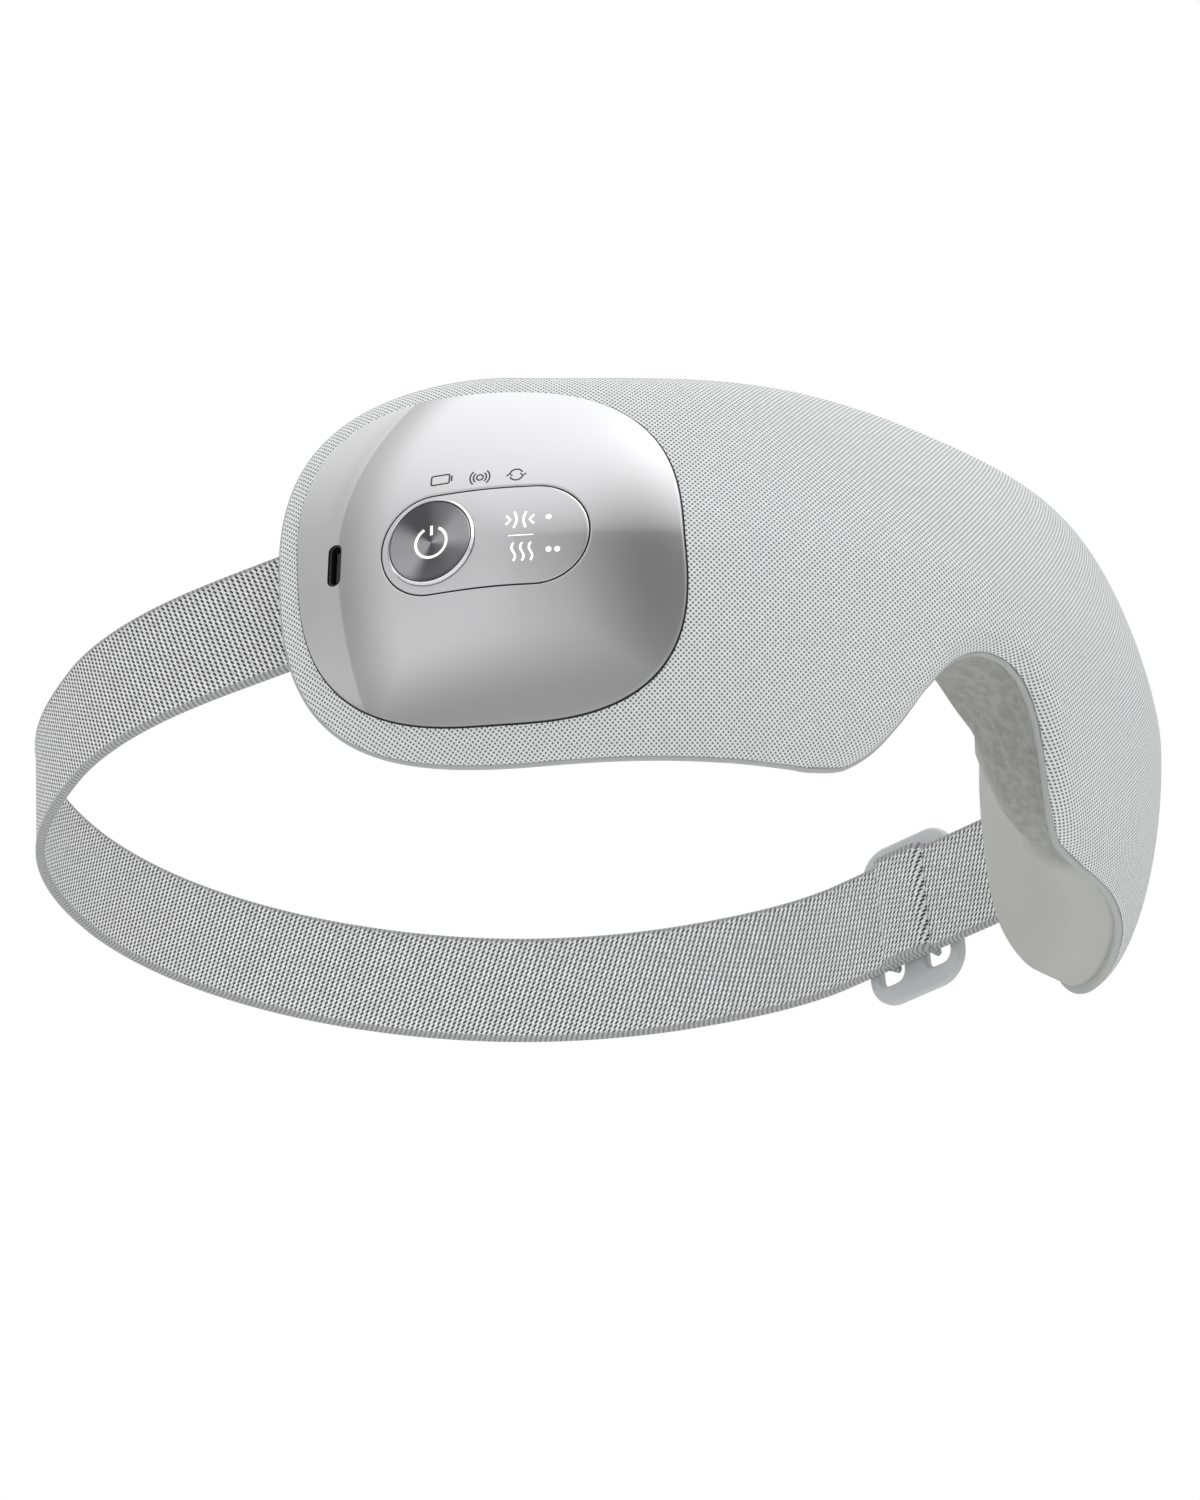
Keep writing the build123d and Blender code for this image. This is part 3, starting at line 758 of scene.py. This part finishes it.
def cushion_back(s, z, inset):
    """Depth of the cushion's rear face."""
    distance = rim_distance(s, z, inset)
    rim = smooth_max(13.9 - 2.3 * distance, 9.8 * np.clip(1 - distance / 16, 0, 1) ** 2, 0.8)
    notch = rolled(notch_distance(s, z) - inset, 21 + 3 * eased(np.abs(s) / 26), 20.0)
    back = CUSHION_BACK - (rim**3 + notch**3) ** (1 / 3)
    for side in (-1, 1):
        radius = np.hypot((s - side * EYE_ARC) / 26, (z - EYE_Z) / 19)
        back = back - 4.0 * eased((1.06 - radius) / 0.2)
        bag = np.clip(1 - radius / 0.78, 0, 1)
        back = back + 1.6 * np.sqrt(1 - (1 - bag) ** 2) * (bag > 0)
        back = back + eased((1.16 - radius) / 0.13) * np.maximum(FILM_COVER - back, 0)
    return back


def face_cushion():
    """The pad: a shaped rear face, walls up from the cloth's edge, and a plain hidden front."""
    count, steps = 120, 9
    s = columns(PAD_INSET)[:, None]
    low, high = edges(s, PAD_INSET)
    z = low + (high - low) * rows_between(count)[None, :]
    start = cloth_depth(s, np.concatenate([low, high], 1)) + PAD_START
    rear = np.maximum(cushion_back(s, z, PAD_INSET), np.minimum(start[:, :1], start[:, 1:]) + 0.3)
    share = np.arange(steps) / steps
    low_wall = start[:, :1] + (rear[:, :1] - start[:, :1]) * share
    high_wall = start[:, 1:] + (rear[:, -1:] - start[:, 1:]) * share[::-1]
    near = np.clip((notch_distance(s, z) - 3) / 4, 0, 1)
    front = (PAD_FRONT * near + np.minimum(start[:, :1], PAD_FRONT) * (1 - near))[:, ::-1][:, 1:-1]
    depth = np.concatenate([low_wall, rear, high_wall, front], 1)
    height = [np.repeat(low, steps, 1), z, np.repeat(high, steps, 1), z[:, ::-1][:, 1:-1]]
    height = np.concatenate(height, 1)
    points = spot(s, depth, height)
    rows, across = points.shape[:2]
    # UV x marks the wall by the notch, which pad_leather gives a coarser grain and a darker colour, the
    # darkening partly the leather's own and partly painted shade
    near_notch = np.clip((15 - notch_distance(s, height)) / 8, 0, 1)
    grain = eased(near_notch * np.clip((52 - np.abs(s)) / 14, 0, 1))
    uv = np.stack([grain, np.zeros_like(grain)], -1).reshape(-1, 2)
    piece = piece_of("face_cushion_pad", points.reshape(-1, 3), grid_faces(rows, across, close_columns=True),
                     PAD_LEATHER, uv, 60)
    tidy_mesh(piece)
    smooth(piece, 60)
    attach(piece, "mask")
    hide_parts("face_cushion")


face_cushion()


# ---- control panel ----
def reach(s0, z0, angles, side, grow=0.0):
    """Distance in each direction from a place on the front to where side changes sign."""
    near, far = np.zeros_like(angles), np.full_like(angles, 60.0)
    for _ in range(40):
        middle = (near + far) / 2
        inside = side(surface(s0 + middle * np.cos(angles), z0 + middle * np.sin(angles)), grow) < 0
        near, far = np.where(inside, middle, near), np.where(inside, far, middle)
    return (near + far) / 2


def plate(name, centre, inner, outer, profile_in, profile_out, spread, material, back=-0.9, bend=None):
    """Ring-shaped plate on the front between two outlines.

    The profiles are (distance from the outline into the plate, height); spread is the number of rows between.
    """
    angles = np.linspace(0, 2 * pi, 320, endpoint=False)
    near, far = reach(*centre, angles, *inner), reach(*centre, angles, *outer)
    steps = [(near + o, h) for o, h in profile_in]
    first, last = near + profile_in[-1][0], far - profile_out[0][0]
    for i in range(1, spread):
        steps.append((first + (last - first) * i / spread, profile_out[0][1]))
    steps += [(far - o, h) for o, h in profile_out]
    steps += [(far - profile_out[-1][0], back), (near + profile_in[0][0], back)]
    rows = []
    for radius, height in steps:
        s, z = centre[0] + radius * np.cos(angles), centre[1] + radius * np.sin(angles)
        lift = height + (bend(s, z) if bend and height > 0 else 0)
        rows.append(surface(s, z, lift))
    points = np.array(rows)
    faces = grid_faces(len(rows), len(angles), True, True)
    return tidy_mesh(piece_of(name, points.reshape(-1, 3), faces, material, angle=35))


def facet_bend(s, z):
    """A soft valley where the panel turns to the temple."""
    past = s - CREASE_ARC - crease_height(z)
    return -0.25 * np.exp(-((past / 2.2) ** 2)) * eased(-panel_side(surface(s, z)) / 0.35)


def control_panel():
    edge_in = [(0.0, 0.0), (0.0, 0.40), (0.05, 0.46), (0.14, 0.5)]
    turns = [i / 6 for i in range(7)]
    edge_out = [(0.4 * (1 - sin(pi / 2 * t)), 0.5 - 0.4 * (1 - cos(pi / 2 * t))) for t in turns]
    centre = (PILL_ARC, PILL_Z)
    piece = plate("panel_shell", centre, (pill_side, 0.12), (panel_side, 0.0), edge_in, edge_out, 60,
                  SILVER, bend=facet_bend)
    cut(piece, prism("cutter", USB_PLANE, rounded_rectangle(*USB_SLOT, 1.4), -5, 3))
    smooth(piece, 35)
    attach(piece, "mask")
    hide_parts("control_panel")
    # painted shade: a black ring in the gap round the panel, standing in for the shadow in the groove between
    # panel and cloth
    gap_shade = plate("panel_gap_shade", centre, (panel_side, -1.2), (panel_side, 0.3), [(0.0, -0.1)],
                 [(0.0, -0.1)], 3, PAINTED_GAP_SHADE, back=-0.5)
    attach(gap_shade, "mask")


def control_insert():
    edge_in = [(0.0, 0.0), (0.0, 0.42), (0.12, 0.5)]
    edge_out = [(0.14, 0.5), (0.05, 0.46), (0.0, 0.40), (0.0, 0.0)]
    centre = (BUTTON_ARC, BUTTON_Z)
    piece = plate("insert_plate", centre, (ring_side, 0.02), (pill_side, -0.18), edge_in, edge_out, 40,
                  SILVER)
    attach(piece, "mask")
    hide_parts("control_insert")
    # painted shade: a black ring in the gap round the insert, standing in for the shadow in its groove
    gap_shade = plate("insert_gap_shade", centre, (pill_side, -0.9), (pill_side, 0.7), [(0.0, 0.1)], [(0.0, 0.1)], 3,
                 PAINTED_GAP_SHADE, back=-0.4)
    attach(gap_shade, "mask")


control_panel()
control_insert()


def dish(radius):
    """Height of the button's dished face."""
    return 0.5 + 44.3 - sqrt(45.0**2 - radius * radius)


def power_button():
    """The dished button and the ring round it."""
    rim = [(0.0, -1.3), (BUTTON_RADIUS - 0.2, -1.3), (BUTTON_RADIUS, -1.1), (BUTTON_RADIUS, 0.22),
           (BUTTON_RADIUS - 0.12, 0.34), (BUTTON_RADIUS - 0.3, 0.36)]
    face = [(r, dish(r) - 0.1) for r in np.linspace(BUTTON_RADIUS - 0.55, 0.0, 26)]
    piece = lathe("button_cap", rim + face, SPUN, BUTTON_PLANE, angle=25)
    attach(piece, "button")
    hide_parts("power_button")
    ring = lathe("button_bezel", [(BUTTON_RADIUS + 0.12, -1.4), (RING_RADIUS - 0.05, -1.4),
                                  (RING_RADIUS, -1.3), (RING_RADIUS, 0.0), (RING_RADIUS - 0.08, 0.08),
                                  (BUTTON_RADIUS + 0.34, 0.34), (BUTTON_RADIUS + 0.22, 0.3),
                                  (BUTTON_RADIUS + 0.12, 0.1), (BUTTON_RADIUS + 0.12, -1.4)],
                 POLISHED, BUTTON_PLANE, angle=25)
    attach(ring, "mask")
    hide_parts("button_ring")


power_button()


def ribbon(name, paths, width, place, lit=True, body="mask"):
    """Flat printed lines: each path is a list of points, and place puts a point on the surface."""
    points, faces = [], []
    for path in paths:
        line = np.array(path, float)
        way = directions(line)
        side = np.stack([-way[:, 1], way[:, 0]], 1) * width / 2
        start = len(points)
        for k in range(len(line)):
            for offset, lift in ((-1, 0.0), (-0.9, 1.0), (0.9, 1.0), (1, 0.0)):
                points.append(place(*(line[k] + side[k] * offset), lift))
        faces += grid_faces(len(line), 4, start=start)
        faces += [(start + 3, start + 2, start + 1, start)]
        faces += [tuple(start + 4 * (len(line) - 1) + i for i in range(4))]
    piece = piece_of(name, points, faces, LIT if lit else INK, angle=60)
    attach(piece, body)


def lit_dots(name, centres, radius, place):
    """Small printed dots."""
    points, faces = [], []
    for cx, cy in centres:
        start = len(points)
        for scale, lift in ((1.0, 0.0), (0.93, 1.0)):
            for i in range(24):
                t = 2 * pi * i / 24
                points.append(place(cx + radius * scale * cos(t), cy + radius * scale * sin(t), lift))
        for i in range(24):
            j = (i + 1) % 24
            faces.append((start + i, start + j, start + 24 + j, start + 24 + i))
        faces += [tuple(start + 24 + i for i in range(24))]
    piece = piece_of(name, points, faces, LIT, angle=60)
    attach(piece, "mask")
    return piece


def on_panel(s0, z0, tilt=PILL_TILT):
    """Places a point of an icon drawn about (s0, z0)."""
    c, d = cos(radians(tilt)), sin(radians(tilt))

    def place(x, y, lift):
        s, z = s0 + x * c - y * d, z0 + x * d + y * c
        return surface(s, z, PROUD + 0.005 + 0.025 * lift)
    return place


def arc(cx, cy, radius, start, end, count=24):
    return [(cx + radius * cos(radians(start + (end - start) * i / count)),
             cy + radius * sin(radians(start + (end - start) * i / count))) for i in range(count + 1)]


def wave(x, height, sway, count=16):
    """An upright S."""
    return [(x + sway * sin(2 * pi * (i / count)), height * (i / count - 0.5)) for i in range(count + 1)]


def icons():
    """The printed icons, the lit ones beside them and the power sign on the button."""
    battery = rounded_rectangle(3.6, 2.0, 0.35, 4)
    battery.append(battery[0])
    battery_end = [(2.25, -0.6), (2.25, 0.6)]
    ribbon("icon_battery", [battery, battery_end], 0.32, on_panel(-112.4, 20.5), lit=False)
    buzz = [arc(0, 0, 0.62, 0, 360)]
    for radius in (1.25, 1.9):
        buzz += [arc(0, 0, radius, -48, 48, 14), arc(0, 0, radius, 132, 228, 14)]
    ribbon("icon_vibration", buzz, 0.3, on_panel(-104.7, 19.2), lit=False)
    cycle = [arc(0, 0, 1.25, 25, 172, 20), arc(0, 0, 1.25, 205, 352, 20)]
    for side in (-1, 1):
        cycle.append([(side * 0.75, 0.25 * side), (side * 1.3, -0.25 * side), (side * 1.85, 0.25 * side)])
    ribbon("icon_cycle", cycle, 0.3, on_panel(-97.8, 18.6), lit=False)
    squeeze = [[(side * 2.6, 0.95), (side * 1.75, 0.0), (side * 2.6, -0.95)] for side in (-1, 1)]
    for side in (-1, 1):
        squeeze.append([(side * (0.62 + 0.5 * abs(t) ** 1.5), 1.75 * t) for t in np.linspace(1, -1, 13)])
    ribbon("icon_pressure", squeeze, 0.44, on_panel(-97.4, 8.3))
    ribbon("icon_heat", [wave(x, 3.6, 0.34) for x in (-1.6, 0.0, 1.6)], 0.42, on_panel(-97.4, 1.7))
    ribbon("icon_divider", [[(-2.3, 0), (0, 0), (2.3, 0)]], 0.22, on_panel(-97.4, 5.0))
    dots = lit_dots("indicator_dots", [(0.0, 3.4), (0.2, -3.3), (1.8, -3.3)], 0.55, on_panel(-92.4, 4.8))
    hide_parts("light_guide")

    def on_button(x, y, lift):
        point = BUTTON_PLANE @ Vector((x, y, dish(hypot(x, y)) - 0.1 + 0.005 + 0.04 * lift))
        return np.array(point)
    power = [arc(0, 0, 3.1, 118, 422, 48), [(0, 1.5), (0, 2.4), (0, 3.4)]]
    ribbon("icon_power", power, 0.55, on_button, body="button")


icons()


# ---- strap ----
def band_line(step=0.8):
    """Plan line of the band from the far pin round to the near pin, at even steps."""
    knots = [Vector((PIN_X, PIN_Y)), Vector(BAND_STRAIGHT_END)] + [Vector(p) for p in BAND_BACK]
    knots.append(Vector((-PIN_X, PIN_Y)))
    ways = [knots[min(i + 1, len(knots) - 1)] - knots[max(i - 1, 0)] for i in range(len(knots))]
    first = (knots[1] - knots[0]).normalized()
    line = [knots[0] + (knots[1] - knots[0]) * i / 60 for i in range(60)]
    for i in range(1, len(knots) - 1):
        span = (knots[i + 1] - knots[i]).length
        a = first * span if i == 1 else ways[i].normalized() * span
        b = ways[i + 1].normalized() * span
        for k in range(30):
            t = k / 30
            line.append(knots[i] * (2 * t**3 - 3 * t**2 + 1) + a * (t**3 - 2 * t**2 + t)
                        + knots[i + 1] * (3 * t**2 - 2 * t**3) + b * (t**3 - t**2))
    line.append(knots[-1])
    line = np.array([tuple(p) for p in line])
    length = lengths(line)[-1]
    places = np.linspace(0, length, int(length / step))
    return resampled(line, places), places


def webbing_section(width, thick):
    """Section of the band: flat, with a rounder bound edge; (across, out) in order round it."""
    half, t, edge = width / 2, thick / 2, 0.16
    side = [(half - 1.5, t), (half - 1.1, t + edge), (half - 0.45, t + edge), (half, 0.25), (half, -0.25),
            (half - 0.45, -t - edge), (half - 1.1, -t - edge), (half - 1.5, -t)]
    across = np.linspace(half - 1.5, -half + 1.5, 9)[1:-1]
    back = [(a, -t) for a in across]
    other = [(-a, -b) for a, b in side]
    return side + back + other + [(-a, t) for a in across]


def swept_band(name, centre, out, along, width, thick):
    """Band along a line; out is its face's direction at each point."""
    section = webbing_section(width, thick)
    rows = len(centre)
    points, uv = [], []
    for k in range(rows):
        for across, lift in section:
            points.append(centre[k] + out[k] * lift + np.array([0, 0, across]))
            uv.append((along[k], across))
    faces = grid_faces(rows, len(section), close_columns=True)
    first = tuple(range(len(section)))
    faces += [first[::-1], tuple((rows - 1) * len(section) + i for i in first)]
    piece = piece_of(name, points, faces, WEBBING, uv, 50)
    return tidy_mesh(piece, 0.000001)


def head_strap():
    line, along = band_line()
    way = directions(line)
    out = np.stack([way[:, 1], -way[:, 0], np.zeros(len(way))], 1)
    centre = np.concatenate([line, np.full((len(line), 1), STRAP_Z)], 1)
    piece = swept_band("strap_webbing", centre, out, along, STRAP_WIDTH, STRAP_THICK)
    smooth(piece, 50)
    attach(piece, "strap")
    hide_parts("head_strap")


head_strap()


def glide_plane():
    """The slider's plane: x along the band, y up, z out of the strap's loop."""
    way = Vector((BAND_STRAIGHT_END[0] - PIN_X, BAND_STRAIGHT_END[1] - PIN_Y, 0)).normalized()
    up = Vector((0, 0, 1))
    plane = Matrix((way, up, way.cross(up))).transposed().to_4x4()
    plane.translation = Vector((PIN_X, PIN_Y, STRAP_Z)) + way * GLIDE_CENTRE
    return plane


GLIDE_PLANE = glide_plane()


def tri_glide():
    """Moulded slider with rounded bars."""
    curve = bpy.data.curves.new("tri_glide_frame", "CURVE")
    curve.dimensions = "2D"
    curve.fill_mode = "BOTH"
    loops = [rounded_rectangle(*GLIDE_OUTLINE, 10)]
    for side in (-1, 1):
        loops.append([(x + side * SLOT_OFFSET, y) for x, y in rounded_rectangle(*GLIDE_SLOT, 8)])
    for loop in loops:
        spline = curve.splines.new("POLY")
        spline.points.add(len(loop) - 1)
        for point, (x, y) in zip(spline.points, loop):
            point.co = (x * MM, y * MM, 0, 1)
        spline.use_cyclic_u = True
    curve.extrude = 0.5 * MM
    curve.bevel_depth = 0.8 * MM
    curve.bevel_resolution = 5
    shape = bpy.data.objects.new("glide_shape", curve)
    bpy.context.scene.collection.objects.link(shape)
    bpy.context.view_layer.update()
    mesh = bpy.data.meshes.new_from_object(shape.evaluated_get(bpy.context.evaluated_depsgraph_get()))
    bpy.data.objects.remove(shape)
    piece = bpy.data.objects.new("glide_frame", mesh)
    bpy.context.scene.collection.objects.link(piece)
    placed = GLIDE_PLANE @ Matrix.Translation((0, -1.2, STRAP_THICK / 2 + 0.35 + 1.3))
    placed.translation *= MM
    mesh.transform(placed)
    mesh.materials.clear()
    mesh.materials.append(GLIDE_PLASTIC)
    tidy_mesh(piece, 0.000002)
    smooth(piece, 40)
    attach(piece, "slider")
    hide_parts("tri_glide")
    return piece


glide = tri_glide()


def slider_fold():
    """The webbing's middle layer: it comes up through one slot, crosses the centre bar and goes down."""
    rise = STRAP_THICK / 2 + 0.35 + STRAP_THICK / 2
    path = []
    for side in (-1, 1):
        leg = [(side * 5.6, rise * -0.2 + 3.2), (side * 5.9, 1.4), (side * 6.1, 0.0), (side * 6.0, -1.0),
               (side * 5.3, -1.55), (side * 4.2, -1.75), (side * 2.4, -1.82)]
        path += leg if side < 0 else leg[::-1]
    path = np.array(path)
    places = np.linspace(0, lengths(path)[-1], 60)
    fine = resampled(path, places)
    for _ in range(4):
        fine[1:-1] = (fine[:-2] + 2 * fine[1:-1] + fine[2:]) / 4
    way = directions(fine)
    m = np.array(GLIDE_PLANE)
    centre = m[:3, 3] + fine[:, :1] * m[:3, 0] + fine[:, 1:] * m[:3, 2] + m[:3, 1] * 0.5
    out = way[:, 1:] * m[:3, 0] - way[:, :1] * m[:3, 2]
    piece = swept_band("strap_fold", centre, -out, places, STRAP_WIDTH + 1.0, STRAP_THICK * 0.9)
    smooth(piece, 50)
    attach(piece, "slider")
    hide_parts("strap_bight")


slider_fold()


# ---- finish of the pieces kept from the part ----
SLOT_MATERIALS = {
    "shell": SHELL_PLASTIC,
    "frame": LIP_PLASTIC,
    "white_plastic": plastic("white_plastic", (0.75, 0.75, 0.74)),
    "black_plastic": BLACK,
    "board": plastic("board_green", (0.02, 0.16, 0.07), 0.4, 900),
    "chip": plastic("chip_black", (0.02, 0.02, 0.022), 0.5),
    "steel": metal("steel", (0.55, 0.55, 0.56), 0.35),
    "brass": metal("brass", (0.75, 0.55, 0.25), 0.3),
    "cell": plastic("cell_wrap", (0.12, 0.22, 0.42), 0.35),
    "flat_cable": plastic("flat_cable", (0.75, 0.62, 0.35), 0.4),
    "silicone": plastic("silicone", (0.8, 0.8, 0.78), 0.3),
    "film": plastic("heating_film", (0.55, 0.3, 0.1), 0.35),
    "light_pipe": LIT,
    "webbing": WEBBING,
}
node_slots = {part["node"]: part["material_slot"] for part in frame["record"]["subparts"]}
for name, shown in frame["nodes"].items():
    if shown.hide_render:
        continue
    finish = BLACK if name == "usb_c_port" else SLOT_MATERIALS.get(node_slots.get(name), PLAIN)
    shown.data.materials.clear()
    shown.data.materials.append(finish)


# ---- camera, light and floor ----
CAMERA_TURN = (-43.654, -26.598, -3.763)      # azimuth, elevation and roll
CAMERA_PLACE = (0.9134, -0.07378, -0.02554)   # metres back, right and up of the front's middle
CAMERA_LENS = 116.06
LIGHT_TARGET = (0, 0.03, 0)
FLOOR_Z, FLOOR_HALF = -0.75, 6.0
# brightness of the studio from straight down (0) over the horizon (0.5) to straight up (1)
SKY = [(0.0, 0.35), (0.44, 0.44), (0.5, 0.74), (0.58, 1.04), (0.70, 0.66), (0.76, 0.66), (0.88, 1.3),
       (1.0, 1.5)]
DARK_CARD = (-0.5, -0.75, 0.3)                # direction of the card that the metal mirrors


def camera():
    azimuth, elevation, roll = (radians(a) for a in CAMERA_TURN)
    back = Vector((sin(azimuth) * cos(elevation), -cos(azimuth) * cos(elevation), sin(elevation)))
    right = Vector((cos(azimuth), sin(azimuth), 0))
    up = back.cross(right)
    right, up = cos(roll) * right + sin(roll) * up, -sin(roll) * right + cos(roll) * up
    data = bpy.data.cameras.new("camera")
    data.lens = CAMERA_LENS
    data.sensor_width = 36
    made = bpy.data.objects.new("camera", data)
    bpy.context.scene.collection.objects.link(made)
    matrix = Matrix((right, up, back)).transposed().to_4x4()
    away, across, high = CAMERA_PLACE
    matrix.translation = back * away + right * across + up * high + Vector((0, -CUSHION_BACK * MM, 0))
    made.matrix_world = matrix
    bpy.context.scene.camera = made


camera()


def area_light(name, place, size, power):
    data = bpy.data.lights.new(name, "AREA")
    data.shape = "RECTANGLE"
    data.size, data.size_y = size
    data.energy = power
    light = bpy.data.objects.new(name, data)
    bpy.context.scene.collection.objects.link(light)
    light.location = place
    light.rotation_mode = "QUATERNION"
    light.rotation_quaternion = (Vector(place) - Vector(LIGHT_TARGET)).to_track_quat("Z", "Y")


def world():
    """Soft studio: brighter overhead and near the horizon, with one dark card for the metal to mirror."""
    made = bpy.data.worlds.new("studio")
    bpy.context.scene.world = made
    made.use_nodes = True
    n = Nodes(made)
    background = n.tree.nodes["Background"]
    background.inputs[0].default_value = (1, 1, 1, 1)
    where = n.add("TexCoord").outputs["Generated"]
    x, _, z = n.axes(where)
    ramp = n.add("ValToRGB", {0: n.add("MapRange", {0: z, 1: -1.0}).outputs[0]})
    ramp.color_ramp.interpolation = "EASE"
    while len(ramp.color_ramp.elements) < len(SKY):
        ramp.color_ramp.elements.new(0.5)
    for element, (place, value) in zip(ramp.color_ramp.elements, SKY):
        element.position = place
        element.color = (value, value, value, 1)
    card = n.add("VectorMath", {0: where, 1: Vector(DARK_CARD).normalized()}, operation="DOT_PRODUCT")
    shade = n.add("MapRange", {0: card.outputs["Value"], 1: 0.86, 2: 0.985, 3: 1.0, 4: 0.3},
                  interpolation_type="SMOOTHSTEP").outputs[0]
    far = n.add("MapRange", {0: x, 1: 0.0, 2: 0.8, 3: 1.0, 4: 0.3}).outputs[0]
    total = n.math("MULTIPLY", n.math("MULTIPLY", ramp.outputs[0], shade), far)
    seen = n.add("LightPath").outputs["Is Camera Ray"]
    n.put(n.add("Mix", {0: seen, 2: total, 3: 1.0}).outputs[0], background.inputs[1])


world()
area_light("key", (0.1, -1.3, 1.2), (1.5, 1.5), 9)
area_light("fill", (1.0, -0.8, 0.1), (0.8, 0.8), 0.6)

floor_mesh = bpy.data.meshes.new("floor")
corners = [(-1, -1), (1, -1), (1, 1), (-1, 1)]
floor_mesh.from_pydata([(x * FLOOR_HALF, y * FLOOR_HALF, FLOOR_Z) for x, y in corners], [], [(0, 1, 2, 3)])
floor = bpy.data.objects.new("floor", floor_mesh)
floor_mesh.materials.append(plastic("floor_paint", (0.85, 0.85, 0.85), 0.9, 40))
bpy.context.scene.collection.objects.link(floor)
bpy.context.scene.view_settings.view_transform = "Standard"
